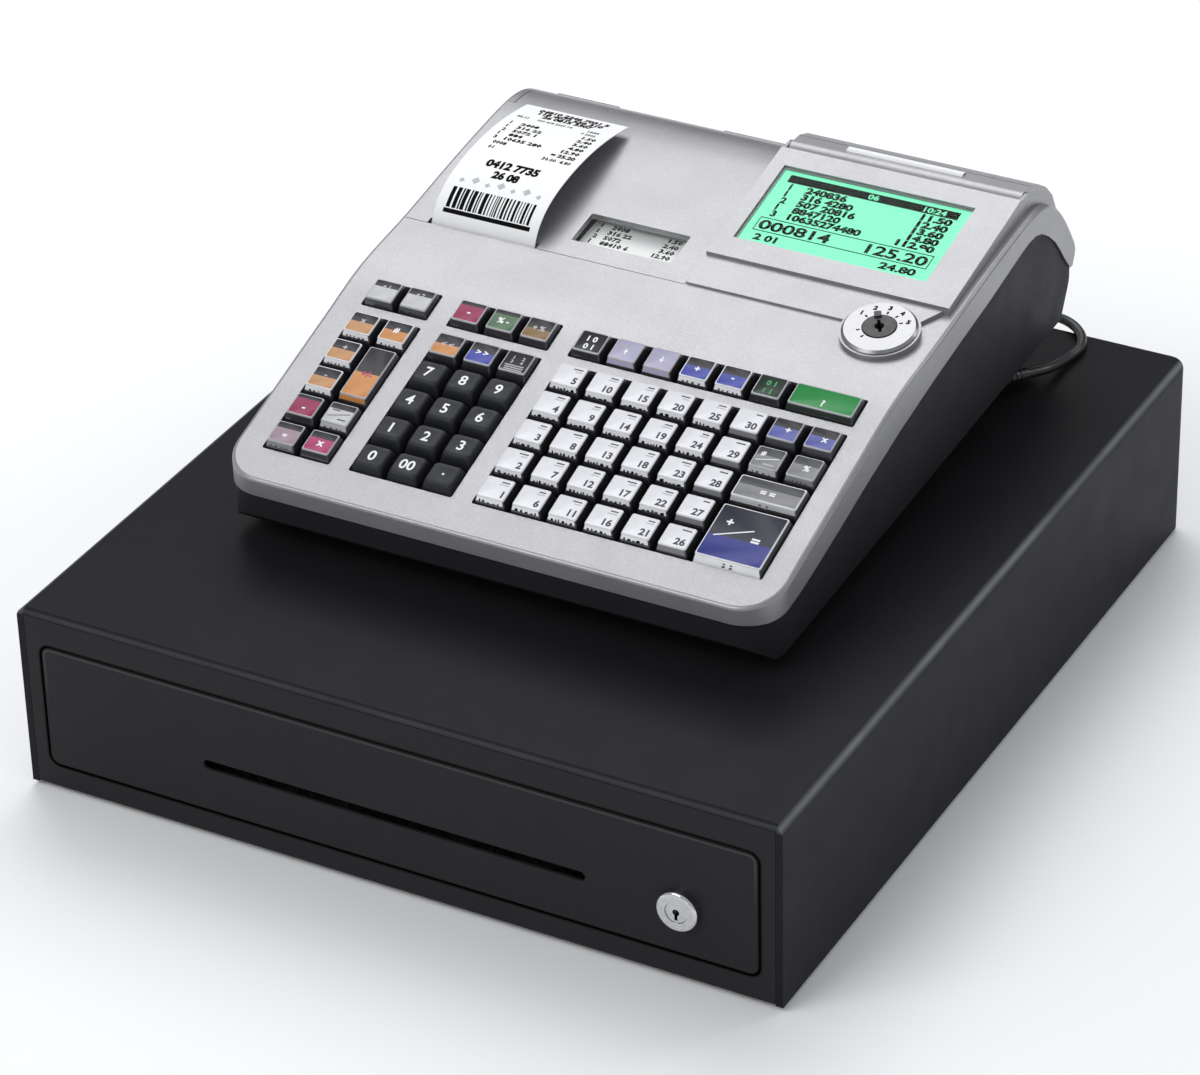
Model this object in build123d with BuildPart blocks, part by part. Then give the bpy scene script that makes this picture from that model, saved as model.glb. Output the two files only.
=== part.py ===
from build123d import *
import os
from math import sin, cos, tan, radians, degrees, sqrt, pi, hypot, atan2

os.makedirs("parts", exist_ok=True)

# ------------------------------------------------------------------
# Electronic cash register on a steel cash drawer.
# X to the right, Y to the rear, Z up, millimetres.
# Origin on the floor under the middle of the drawer cabinet.
# ------------------------------------------------------------------

# cash drawer
CAB_W = 400.0
CAB_FRONT, CAB_REAR = 225.0, 232.5                    # front face at -CAB_FRONT, rear face at CAB_REAR
FOOT_H = 2.5
CAB_TOP = 100.0
SHEET = 1.2
OPEN_W, OPEN_Z0, OPEN_Z1 = 378.0, 15.0, 83.0      # opening of the front frame
FACE_GAP = 0.8
FACE_R = 6.0
SLOT_HALF, SLOT_Z0, SLOT_Z1 = 101.0, 39.4, 44.6    # slot for slips
LOCK_X, LOCK_Z = 149.0, 41.0
SCREW_X = [-150.0, -50.0, 50.0, 150.0]               # screws in the rear wall
BOX_X, BOX_Y0, BOX_Y1, BOX_Z0, BOX_Z1 = 175.0, -215.0, 195.0, 17.0, 70.0

# register, standing on the cabinet top
ZT = CAB_TOP
HALF_W = 146.0
DECK_Y0, DECK_Z0 = -150.0, 33.0                     # a point of the key deck plane
DECK_SLOPE = radians(17.52)
PITCH = 19.0
KEY = 16.9                                          # base of a single key
KEY_TRAVEL = 3.0
FRONT_Y = -131.0                                    # front face of the upper case
SEAM_Y = 47.6                                       # front edge of the printer cover
HINGE_Y = 187.6
COVER_X1 = 11.4

# mains lead
CORD_D = 5.0


def yz(y, z):
    return (y, z + ZT)


def deck_z(y):
    return DECK_Z0 + (y - DECK_Y0) * tan(DECK_SLOPE) + ZT


DECK = Plane(
    origin=(0, DECK_Y0, DECK_Z0 + ZT),
    x_dir=(1, 0, 0),
    z_dir=(0, -sin(DECK_SLOPE), cos(DECK_SLOPE)),
)

# top line of the cover in the side view, from the end of the key deck to the rear
CREST = [(45, 87.6), (80, 93.6), (115, 99.4), (140, 102.8), (157, 104.1), (170, 102.8),
         (181, 98.2), (190, 90.8), (197, 83.0), (204, 73.4), (209.4, 65.2), (211.4, 60.4),
         (210.6, 55.6), (208.4, 51.0)]
# the same line, 3 mm inside
CREST_IN = [(45, 84.6), (80, 90.6), (115, 96.4), (140, 99.8), (157, 101.1), (168.6, 100.0),
            (179.2, 95.7), (187.8, 88.6), (194.7, 81.0), (201.6, 71.5), (206.4, 64.2), (208.0, 60.4),
            (207.4, 56.4), (205.2, 50.0)]
# lower edge of the silver band on the sides
BOUND = [(-150, 30.0), (-122, 30.0), (-112, 31.4), (-98, 34.0), (-84, 37.4), (-57.8, 44.8), (-29.6, 53.4),
         (7.5, 63.3), (44.7, 71.3), (73.8, 76.7), (105.9, 82.2), (128, 86.8), (142, 89.8), (152, 91.5),
         (160, 91.3), (167.4, 89.0), (176.2, 83.3), (184.6, 76.0), (190.5, 69.1), (196.4, 61.5),
         (203, 53.6), (205, 52.0), (225, 52.0)]


# ==================================================================
# CASH DRAWER CABINET
# ==================================================================
with BuildPart() as cabinet_space:
    # the space inside the sheet
    with BuildSketch(Plane.XY.offset(FOOT_H - 1)):
        with Locations((0, (CAB_REAR - CAB_FRONT) / 2)):
            Rectangle(CAB_W - 2 * SHEET, CAB_REAR + CAB_FRONT - 2 * SHEET)
    extrude(amount=CAB_TOP - FOOT_H + 1 - SHEET)
    fillet(cabinet_space.edges().filter_by(Axis.Z).group_by(Axis.Y)[-1], 6.8)
    fillet(cabinet_space.faces().sort_by(Axis.Z)[-1].edges(), 3.0)
with BuildPart() as drawer_cabinet:
    # bent sheet cover: top, sides and back, with a narrow border at the front
    with BuildSketch(Plane.XY.offset(FOOT_H)):
        with Locations((0, (CAB_REAR - CAB_FRONT) / 2)):
            Rectangle(CAB_W, CAB_REAR + CAB_FRONT)
    extrude(amount=CAB_TOP - FOOT_H)
    fillet(drawer_cabinet.edges().filter_by(Axis.Z).group_by(Axis.Y)[-1], 8)
    fillet(drawer_cabinet.faces().sort_by(Axis.Z)[-1].edges(), 4.2)
    add(cabinet_space.part, mode=Mode.SUBTRACT)
    with BuildSketch(Plane.XZ.offset(CAB_FRONT + 1)):
        with Locations((0, (FOOT_H - 1 + 97.2) / 2)):
            Rectangle(392.8, 97.2 - FOOT_H + 1)
    extrude(amount=-6, mode=Mode.SUBTRACT)
    # cable hole and screw holes in the back
    with BuildSketch(Plane.XZ.offset(-CAB_REAR - 1)):
        with Locations((-120, 40)):
            Circle(8)
        with Locations(*[(x, 12) for x in SCREW_X]):
            Circle(1.6)
    extrude(amount=4, mode=Mode.SUBTRACT)
drawer_cabinet.part.label = "drawer_cabinet"

with BuildPart() as cabinet_floor:
    # base plate with turned-up side and rear flanges
    with BuildSketch(Plane.XY.offset(5)):
        with Locations((0, 4)):
            Rectangle(397.0, 452.0)
    extrude(amount=14)
    with BuildSketch(Plane.XY.offset(6.5)):
        with Locations((0, 2.6)):
            Rectangle(397.0 - 2.4, 452.0)
    extrude(amount=20, mode=Mode.SUBTRACT)
    # relief of the folds at the rear corners
    with BuildSketch(Plane.XY.offset(4)):
        with Locations((-195, 226.5), (195, 226.5)):
            Rectangle(10, 10)
    extrude(amount=20, mode=Mode.SUBTRACT)
    with BuildSketch(Plane.XZ.offset(-CAB_REAR - 1)):
        with Locations(*[(x, 12) for x in SCREW_X]):
            Circle(1.6)
    extrude(amount=8, mode=Mode.SUBTRACT)
cabinet_floor.part.label = "cabinet_floor"

with BuildPart() as front_frame:
    # front plate with the rounded opening, its inner lip and rear flanges
    with BuildSketch(Plane.XZ.offset(CAB_FRONT)):
        with Locations((0, (3.4 + 97.0) / 2)):
            Rectangle(392.4, 93.6)
        with Locations((0, (OPEN_Z0 + OPEN_Z1) / 2)):
            RectangleRounded(OPEN_W, OPEN_Z1 - OPEN_Z0, FACE_R, mode=Mode.SUBTRACT)
    extrude(amount=-1.5)
    with BuildSketch(Plane.XZ.offset(CAB_FRONT)):
        with Locations((0, (OPEN_Z0 + OPEN_Z1) / 2)):
            RectangleRounded(OPEN_W + 3, OPEN_Z1 - OPEN_Z0 + 3, FACE_R + 1.5)
            RectangleRounded(OPEN_W, OPEN_Z1 - OPEN_Z0, FACE_R, mode=Mode.SUBTRACT)
    extrude(amount=-5.5)
front_frame.part.label = "front_frame"

with BuildPart() as cabinet_feet:
    with BuildSketch(Plane.XY):
        with Locations((0, -4)):
            with GridLocations(364, 420, 2, 2):
                Circle(8)
    extrude(amount=5)
    chamfer(cabinet_feet.faces().filter_by(Axis.Z).group_by(Axis.Z)[0].edges(), 1)
cabinet_feet.part.label = "cabinet_feet"

# fixed rails: an upstanding bracket on the base plate with a C channel
with BuildPart() as cabinet_rails:
    with BuildSketch(Plane.XZ.offset(205)):
        for s in (-1, 1):
            with Locations((s * 185.85, 29.25)):
                Rectangle(1.5, 45.5)
            with Locations((s * 190.1, 7.25)):
                Rectangle(10.0, 1.5)
            with Locations((s * 181.6, 51.25)):
                Rectangle(7.4, 1.5)
            with Locations((s * 181.6, 30.75)):
                Rectangle(7.4, 1.5)
    extrude(amount=-410)
cabinet_rails.part.label = "cabinet_rails"

with BuildPart() as latch_solenoid:
    # coil in its frame behind the drawer box, with the upright bore for the bolt
    with BuildSketch(Plane.XY.offset(6.5)):
        with Locations((0, 209)):
            RectangleRounded(30, 22, 2)
    extrude(amount=3)
    with BuildSketch(Plane.XY.offset(9.5)):
        with Locations((0, 209)):
            Circle(9.5)
    extrude(amount=23)
    with BuildSketch(Plane.XY.offset(32.5)):
        with Locations((0, 209)):
            RectangleRounded(22, 20, 2)
    extrude(amount=2)
    for s in (-1, 1):
        with BuildSketch(Plane.XY.offset(9.5)):
            with Locations((s * 10.4, 209)):
                Rectangle(1.2, 12)
        extrude(amount=23)
    with BuildSketch(Plane.XY.offset(12)):
        with Locations((0, 209)):
            Circle(2.56)
    extrude(amount=40, mode=Mode.SUBTRACT)
latch_solenoid.part.label = "latch_solenoid"

with BuildPart() as latch_bolt:
    # plunger of the solenoid, drawn down; its nose rises into the tab of the drawer box
    with BuildSketch(Plane.XY.offset(13)):
        with Locations((0, 209)):
            Circle(2.5)
    extrude(amount=25.5)
    with BuildSketch(Plane.XY.offset(35.2)):
        with Locations((0, 209)):
            Circle(3.0)
    extrude(amount=1.2)
    chamfer(latch_bolt.faces().sort_by(Axis.Z)[-1].edges(), 0.8)
latch_bolt.part.label = "latch_bolt"

# ==================================================================
# DRAWER
# ==================================================================
FX, FZ0, FZ1 = OPEN_W / 2 - FACE_GAP, OPEN_Z0 + FACE_GAP, OPEN_Z1 - FACE_GAP
with BuildPart() as drawer_front:
    with BuildSketch(Plane.XZ.offset(CAB_FRONT)):
        with Locations((0, (FZ0 + FZ1) / 2)):
            RectangleRounded(2 * FX, FZ1 - FZ0, FACE_R - FACE_GAP)
    extrude(amount=-10)
    fillet(drawer_front.faces().sort_by(Axis.Y)[0].edges(), 0.8)
    with BuildSketch(Plane.XZ.offset(CAB_FRONT - 1.5)):
        with Locations((0, (FZ0 + FZ1) / 2)):
            RectangleRounded(2 * FX - 3, FZ1 - FZ0 - 3, FACE_R - FACE_GAP - 1.5)
    extrude(amount=-20, mode=Mode.SUBTRACT)
    # slot for slips, hole for the lock, and the gap in the lower flange for the cam
    with BuildSketch(Plane.XZ.offset(CAB_FRONT + 1)):
        with Locations((0, (SLOT_Z0 + SLOT_Z1) / 2)):
            SlotOverall(2 * SLOT_HALF, SLOT_Z1 - SLOT_Z0)
        with Locations((LOCK_X, LOCK_Z)):
            Circle(9.6)
    extrude(amount=-4, mode=Mode.SUBTRACT)
    with BuildSketch(Plane.XY.offset(FZ0 - 1)):
        with Locations((LOCK_X - 9, -217.2)):
            Rectangle(34, 7.6)
    extrude(amount=4, mode=Mode.SUBTRACT)
drawer_front.part.label = "drawer_front"

with BuildPart() as drawer_box:
    # folded steel box with its tall front plate
    with BuildSketch(Plane.XY.offset(BOX_Z0)):
        with Locations((0, (BOX_Y0 + BOX_Y1) / 2)):
            Rectangle(2 * BOX_X, BOX_Y1 - BOX_Y0)
    extrude(amount=BOX_Z1 - BOX_Z0)
    with BuildSketch(Plane.XY.offset(BOX_Z0 + SHEET)):
        with Locations((0, (BOX_Y0 + BOX_Y1) / 2)):
            Rectangle(2 * BOX_X - 2 * SHEET, BOX_Y1 - BOX_Y0 - 2 * SHEET)
    extrude(amount=60, mode=Mode.SUBTRACT)
    with BuildSketch(Plane.XZ.offset(-BOX_Y0)):
        with Locations((0, (FZ0 + FZ1) / 2)):
            RectangleRounded(2 * FX, FZ1 - FZ0, FACE_R - FACE_GAP)
    extrude(amount=-SHEET)
    with BuildSketch(Plane.XZ.offset(-BOX_Y0 + 1)):
        with Locations((0, (SLOT_Z0 + SLOT_Z1) / 2)):
            Rectangle(2 * SLOT_HALF + 4, SLOT_Z1 - SLOT_Z0 + 1.4)
        with Locations((LOCK_X, LOCK_Z)):
            Circle(7)
    extrude(amount=-4, mode=Mode.SUBTRACT)
    # tab with the hole that the latch bolt enters
    with BuildSketch(Plane.XY.offset(40)):
        with Locations((0, 204.5)):
            Rectangle(16, 19)
        with Locations((0, 209)):
            Circle(3.3, mode=Mode.SUBTRACT)
    extrude(amount=1.5)
drawer_box.part.label = "drawer_box"

with BuildPart() as drawer_rails:
    # moving rails on the sides of the box
    with BuildSketch(Plane.XZ.offset(205)):
        for s in (-1, 1):
            with Locations((s * 175.75, 41)):
                Rectangle(1.5, 18)
            with Locations((s * 179.75, 32.75)):
                Rectangle(6.5, 1.5)
            with Locations((s * 179.75, 49.25)):
                Rectangle(6.5, 1.5)
    extrude(amount=-395)
drawer_rails.part.label = "drawer_rails"

# till insert: two rows of coin cups in front, four note bays behind
CUP_X = [-128.4, -42.8, 42.8, 128.4]
CUP_W = 81.6
with BuildPart() as till_tray:
    with BuildSketch(Plane.XY.offset(35)):
        with Locations((0, -49)):
            RectangleRounded(345, 298, 4)
    extrude(amount=31)
    for yc, dy in ((-169, 50), (-115, 50), (8, 172)):
        with BuildSketch(Plane.XY.offset(66)):
            with Locations(*[(x, yc) for x in CUP_X]):
                RectangleRounded(CUP_W, dy, 6)
        extrude(amount=-28, taper=4, mode=Mode.SUBTRACT)
    # side walls down to the box floor
    for s in (-1, 1):
        with BuildSketch(Plane.XY.offset(BOX_Z0 + SHEET)):
            with Locations((s * 170.5, -49)):
                Rectangle(4, 290)
        extrude(amount=20)
    # finger scoops in the front wall of the note bays' dividers
    with BuildSketch(Plane.YZ.offset(-160)):
        with Locations((-30, 68)):
            SlotOverall(40, 16)
    extrude(amount=320, mode=Mode.SUBTRACT)
    # posts for the clip rod
    for x in (-171, -85.6, 0, 85.6, 171):
        with BuildSketch(Plane.YZ.offset(x - 1.5)):
            with Locations((97, 66)):
                Rectangle(10, 10)
            with Locations((97, 71)):
                Circle(5)
            with Locations((97, 71)):
                Circle(2.5, mode=Mode.SUBTRACT)
        extrude(amount=3)
    # the bays end before the rear wall, where the hubs of the clips turn
till_tray.part.label = "till_tray"

with BuildPart() as clip_rod:
    with BuildSketch(Plane.YZ.offset(-172.5)):
        with Locations((97, 71)):
            Circle(2.5)
    extrude(amount=345)
clip_rod.part.label = "clip_rod"

CLIP_ANG = radians(22)
note_clips = []
for i, x in enumerate(CUP_X):
    with BuildPart() as clip:
        hub = Plane.YZ.offset(x - 14)
        with BuildSketch(hub):
            with Locations((97, 71)):
                Circle(4.6)
        extrude(amount=28)
        # sprung arm down into the bay, with a rounded foot
        armp = Plane(
            origin=(x, 97, 71),
            x_dir=(1, 0, 0),
            z_dir=(0, -sin(CLIP_ANG), cos(CLIP_ANG)),
        )
        with BuildSketch(armp.offset(-1.0)):
            with Locations((0, -38)):
                RectangleRounded(24, 74, 5)
            with Locations((0, -34)):
                SlotOverall(40, 8, rotation=90, mode=Mode.SUBTRACT)
        extrude(amount=2.0)
        with BuildSketch(Plane.YZ.offset(x - 14)):
            with Locations((97, 71)):
                Circle(2.56)
        extrude(amount=28, mode=Mode.SUBTRACT)
    clip.part.label = f"note_clip_{i + 1}"
    note_clips.append(clip)

# lock: barrel, plug with the keyhole, cam
with BuildPart() as lock_barrel:
    with BuildSketch(Plane.XZ.offset(CAB_FRONT)):
        with Locations((LOCK_X, LOCK_Z)):
            Circle(10.4)
    extrude(amount=4.5)
    fillet(lock_barrel.faces().sort_by(Axis.Y)[0].edges(), 1.6)
    with BuildSketch(Plane.XZ.offset(CAB_FRONT)):
        with Locations((LOCK_X, LOCK_Z)):
            Circle(9.5)
    extrude(amount=-5.4)
    with BuildSketch(Plane.XZ.offset(CAB_FRONT + 10)):
        with Locations((LOCK_X, LOCK_Z)):
            Circle(5.56)
    extrude(amount=-30, mode=Mode.SUBTRACT)
lock_barrel.part.label = "lock_barrel"

with BuildPart() as lock_plug:
    with BuildSketch(Plane.XZ.offset(219.0)):
        with Locations((LOCK_X, LOCK_Z)):
            Circle(5.5)
    extrude(amount=10.2)
    fillet(lock_plug.faces().sort_by(Axis.Y)[0].edges(), 0.4)
    with BuildSketch(Plane.XZ.offset(CAB_FRONT + 10)):
        with Locations((LOCK_X, LOCK_Z)):
            Circle(1.7)
        with Locations((LOCK_X, LOCK_Z - 2.2)):
            Rectangle(1.5, 3.8)
    extrude(amount=-13.5, mode=Mode.SUBTRACT)
    with BuildSketch(Plane.XZ.offset(219.0)):
        with Locations((LOCK_X, LOCK_Z)):
            Rectangle(4.0, 4.0)
    extrude(amount=-3.0)
lock_plug.part.label = "lock_plug"

with BuildPart() as lock_cam:
    # arm pointing left when open; a quarter turn puts its tip behind the lower lip of the frame
    with BuildSketch(Plane.XZ.offset(218.9)):
        with Locations((LOCK_X, LOCK_Z)):
            Circle(6)
        with Locations((LOCK_X - 14.5, LOCK_Z)):
            Rectangle(29, 9)
        with Locations((LOCK_X, LOCK_Z)):
            Rectangle(4.0, 4.0, mode=Mode.SUBTRACT)
    extrude(amount=-2.2)
lock_cam.part.label = "lock_cam"

# ==================================================================
# REGISTER: LOWER CASE
# ==================================================================
TILT = atan2(0.057, 1.0)
BASE_W, BASE_Y0, BASE_Y1 = 145.0, -130.0, 210.5
CREASE = Plane(origin=(0, 40, ZT + 17.3), x_dir=(1, 0, 0), z_dir=(0, -sin(TILT), cos(TILT)))
CREASE_IN = Plane(origin=(0, 40, ZT + 20.3), x_dir=(1, 0, 0), z_dir=(0, -sin(TILT), cos(TILT)))


def upper_prism(inset):
    """Upright walls of the lower case, or the space between them."""
    with BuildSketch(Plane.XY.offset(ZT)) as walls:
        with Locations((0, (BASE_Y0 + BASE_Y1) / 2)):
            Rectangle(2 * (BASE_W - inset), BASE_Y1 - BASE_Y0 - 2 * inset)
    extrude(walls.sketch, amount=130)


def side_cut(*pts):
    with BuildSketch(Plane.YZ.offset(-160)) as cut:
        with BuildLine():
            Polyline(*[yz(*q) for q in pts], close=True)
        make_face()
    extrude(cut.sketch, amount=320, mode=Mode.SUBTRACT)


with BuildPart() as base_upper:
    upper_prism(0)
    fillet(base_upper.edges().filter_by(Axis.Z).group_by(Axis.Y)[0], 20)
    fillet(base_upper.edges().filter_by(Axis.Z).group_by(Axis.Y)[-1], 6)
    split(bisect_by=CREASE, keep=Keep.TOP)
with BuildPart() as base_hull:
    with BuildSketch(Plane.XY.offset(ZT + 4.5)):
        with Locations((0, 43.5)):
            RectangleRounded(2 * 129, 305, 14)
    loft(sections=[base_hull.pending_faces[0], base_upper.faces().sort_by(Axis.Z)[0]], ruled=True)
    base_hull.pending_faces.clear()

with BuildPart() as cav_upper:
    upper_prism(2.8)
    fillet(cav_upper.edges().filter_by(Axis.Z).group_by(Axis.Y)[0], 17)
    fillet(cav_upper.edges().filter_by(Axis.Z).group_by(Axis.Y)[-1], 3.2)
    split(bisect_by=CREASE_IN, keep=Keep.TOP)
with BuildPart() as cav_hull:
    with BuildSketch(Plane.XY.offset(ZT + 7.5)):
        with Locations((0, 43.5)):
            RectangleRounded(2 * 125.6, 298, 11)
    loft(sections=[cav_hull.pending_faces[0], cav_upper.faces().sort_by(Axis.Z)[0]], ruled=True)
    cav_hull.pending_faces.clear()
with BuildPart() as base_space:
    add(cav_upper.part)
    add(cav_hull.part)
    # the raked lower front and the raked rear wall
    side_cut((-131, 22.6), (-113.6, 8.2), (-106, 1.9), (-145, 1.9), (-145, 22.6))
    side_cut((206.2, 52), (192.6, 25), (181.0, 2), (230, 2), (230, 52))

# where the strain relief leaves the right side near the bottom
REL_P = Vector(133.0, 152.1, ZT + 11.6)
REL_D = Vector(0.48, 0.865, -0.13).normalized()

with BuildPart() as register_base:
    add(base_upper.part)
    add(base_hull.part)
    side_cut((-131, 18.9), (-115.5, 6.0), (-109, 0.6), (-145, 0.6), (-145, 18.9))
    side_cut((209.6, 52), (196, 25), (184.0, 1.2), (230, 1.2), (230, 52))
    # plinth under the rear part
    with BuildSketch(Plane.XY.offset(ZT + 1)):
        with Locations((0, 102)):
            RectangleRounded(2 * 124, 163, 12)
    extrude(amount=6)
    add(base_space.part, mode=Mode.SUBTRACT)
    with BuildSketch(Plane.XY.offset(ZT + 3)):
        with Locations((0, 102)):
            RectangleRounded(2 * 121, 157, 10)
    extrude(amount=8, mode=Mode.SUBTRACT)
    # everything above the lower edge of the silver band goes
    with BuildSketch(Plane.YZ.offset(-160)):
        with BuildLine():
            pts = [yz(y, z - 0.35) for y, z in BOUND]
            Polyline(*pts, (225, 260), (-150, 260), close=True)
        make_face()
    extrude(amount=320, mode=Mode.SUBTRACT)
    # moulded seat of the strain relief
    with BuildSketch(Plane(origin=REL_P - REL_D * 16, z_dir=REL_D)):
        Circle(4.0)
    extrude(amount=28, mode=Mode.SUBTRACT)
register_base.part.label = "register_base"

with BuildPart() as register_feet:
    with BuildSketch(Plane.XY.offset(ZT)):
        with Locations((-108, -84), (108, -84)):
            Circle(8)
    extrude(amount=4.5)
    with BuildSketch(Plane.XY.offset(ZT)):
        with Locations((-108, 168), (108, 168)):
            Circle(8)
    extrude(amount=1)
register_feet.part.label = "register_feet"

# ==================================================================
# REGISTER: UPPER CASE
# ==================================================================
with BuildPart() as cover_outer:
    with BuildSketch(Plane.YZ.offset(-HALF_W)):
        with BuildLine():
            e1 = Line(yz(FRONT_Y, 29.8), yz(FRONT_Y, deck_z(FRONT_Y) - ZT))
            flat = [(FRONT_Y * (1 - i / 6), deck_z(FRONT_Y * (1 - i / 6))) for i in range(7)]
            e2 = Spline(*flat, *[yz(*q) for q in CREST], tangents=[(cos(DECK_SLOPE), sin(DECK_SLOPE)), (-0.42, -0.91)])
            e3 = Line(e2 @ 1, yz(184.0, 29.8))
            e4 = Line(e3 @ 1, e1 @ 0)
        make_face()
    extrude(amount=2 * HALF_W)
    fillet(cover_outer.edges().filter_by(Axis.Z).group_by(Axis.Y)[0], 21)
    top_face = cover_outer.faces().filter_by(lambda f: f.normal_at(f.center()).Z > 0.5).sort_by(SortBy.AREA)[-1]
    rim = ShapeList([e for e in top_face.edges() if not (abs(e.center().X) < 1 and e.center().Y > 0)])
    fillet(rim, 2.0)

with BuildPart() as cover_cavity:
    with BuildSketch(Plane.YZ.offset(-HALF_W + 3)):
        with BuildLine():
            c1 = Line(yz(FRONT_Y + 3, 20), (FRONT_Y + 3, deck_z(FRONT_Y + 3) - 3.0))
            flat = [((FRONT_Y + 3) * (1 - i / 6), deck_z((FRONT_Y + 3) * (1 - i / 6)) - 3.0) for i in range(7)]
            c2 = Spline(*flat, *[yz(*q) for q in CREST_IN], tangents=[(cos(DECK_SLOPE), sin(DECK_SLOPE)), (-0.35, -0.94)])
            c3 = Line(c2 @ 1, yz(196.0, 20))
            c4 = Line(c3 @ 1, c1 @ 0)
        make_face()
    extrude(amount=2 * HALF_W - 6)
    fillet(cover_cavity.edges().filter_by(Axis.Z).group_by(Axis.Y)[0], 18)

with BuildPart() as cover_shell:
    add(cover_outer.part)
    add(cover_cavity.part, mode=Mode.SUBTRACT)
    # the lower edge of the band
    with BuildSketch(Plane.YZ.offset(-160)):
        with BuildLine():
            Polyline(*[yz(y, z) for y, z in BOUND], (225, 90), (-150, 90), close=True)
        make_face()
    extrude(amount=320, mode=Mode.SUBTRACT)

# windows for the key blocks: x centre, s centre (up the slope), columns, rows
U_S, M_S = 147.3, 86.3
WINDOWS = [(-113.0, U_S, 2, 1), (-113.0, M_S, 2, 5), (-56.0, U_S, 3, 1), (-56.0, M_S, 3, 5),
           (57.9, U_S, 8, 1), (57.9, M_S, 8, 5)]
LCD_X, LCD_Y = 71.5, 111.0
LCD_W, LCD_H = 101.0, 55.4
PANEL_SLOPE = radians(12.8)
PANEL = Plane(origin=(LCD_X, 69.5, ZT + 95.8), x_dir=(1, 0, 0),
              z_dir=(0, -sin(PANEL_SLOPE), cos(PANEL_SLOPE)))
LCD_S = (LCD_Y - 69.5) / cos(PANEL_SLOPE)          # centre of the display up the panel
MODE_SLOPE = radians(12.0)
MODE = Plane(origin=(117.2, 44.6, ZT + 89.0), x_dir=(1, 0, 0),
             z_dir=(0, -sin(MODE_SLOPE), cos(MODE_SLOPE)))
HUB_C = (159.0, 107.3)                              # tilt axis of the rear display (y, z)
HINGE_Z = ZT + 91.6


def box_between(x0, x1, y0, y1, z0, z1, mode=Mode.SUBTRACT):
    with BuildSketch(Plane.XY.offset(z0)) as plan:
        with Locations(((x0 + x1) / 2, (y0 + y1) / 2)):
            Rectangle(x1 - x0, y1 - y0)
    extrude(plan.sketch, amount=z1 - z0, mode=mode)


HINGES = [(-126.0, -108.0), (-30.0, -12.0)]          # knuckles of the printer cover along X
with BuildPart() as top_cover:
    add(cover_shell.part)
    with BuildSketch(DECK.offset(-12)):
        for x, s, nx, ny in WINDOWS:
            with Locations((x, s)):
                RectangleRounded(PITCH * (nx - 1) + KEY + 1.0, PITCH * (ny - 1) + KEY + 1.0, 1.2)
    extrude(amount=24, mode=Mode.SUBTRACT)
    # opening for the printer cover
    box_between(-140.5, COVER_X1 + 0.5, SEAM_Y, HINGE_Y + 0.1, ZT + 60, ZT + 120)
    box_between(-152.0, -140.4, SEAM_Y, 150.5, ZT + 60, ZT + 120)
    # its end leans back, and the edge at the hinge is cut away, so that the cover swings clear
    with BuildSketch(Plane.YZ.offset(-152.0)):
        with BuildLine():
            Polyline(yz(150.4, 97.4), yz(154.2, 106.0), yz(150.4, 106.0), close=True)
        make_face()
    extrude(amount=11.6, mode=Mode.SUBTRACT)
    box_between(-140.5, COVER_X1 + 0.5, HINGE_Y, HINGE_Y + 2.0, ZT + 91.2, ZT + 97)
    # openings under the operator display and for the rear display
    box_between(20.0, 134.0, 76.0, 146.0, ZT + 60, ZT + 120)
    box_between(14.0, 141.0, 151.6, 220.0, ZT + 56, ZT + 120)
    # moulded floor of the pocket under the rear display
    with BuildSketch(Plane.YZ.offset(13.0)):
        with BuildLine():
            Polyline(yz(150.8, 103.0), yz(152.0, 101.4), yz(154.4, 99.4), yz(196.0, 62.6), yz(200.6, 56.8),
                     yz(208.0, 56.4), yz(207.0, 52.8), yz(197.0, 54.0), yz(150.8, 95.0), close=True)
        make_face()
    extrude(amount=128.1)
    # hole for the mode switch
    with BuildSketch(MODE.offset(-12)):
        Circle(8.6)
    extrude(amount=20, mode=Mode.SUBTRACT)
    # room for the knuckles of the printer cover, and the fixed knuckles
    for xa, xb in HINGES:
        with BuildSketch(Plane.YZ.offset(xa - 0.4)):
            with Locations((HINGE_Y, HINGE_Z)):
                Circle(3.6)
        extrude(amount=xb - xa + 0.8, mode=Mode.SUBTRACT)
        for ka, kb in ((xa - 8.4, xa - 0.4), (xb + 0.4, xb + 8.4)):
            with BuildSketch(Plane.YZ.offset(ka)):
                with Locations((HINGE_Y, HINGE_Z)):
                    Circle(3.0)
                with Locations((HINGE_Y + 2.4, HINGE_Z - 3.4)):
                    Rectangle(3.6, 6.0)
            extrude(amount=kb - ka)
        with BuildSketch(Plane.YZ.offset(xa - 8.4)):
            with Locations((HINGE_Y, HINGE_Z)):
                Circle(1.5)
        extrude(amount=xb - xa + 16.8, mode=Mode.SUBTRACT)
top_cover.part.label = "top_cover"

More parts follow.
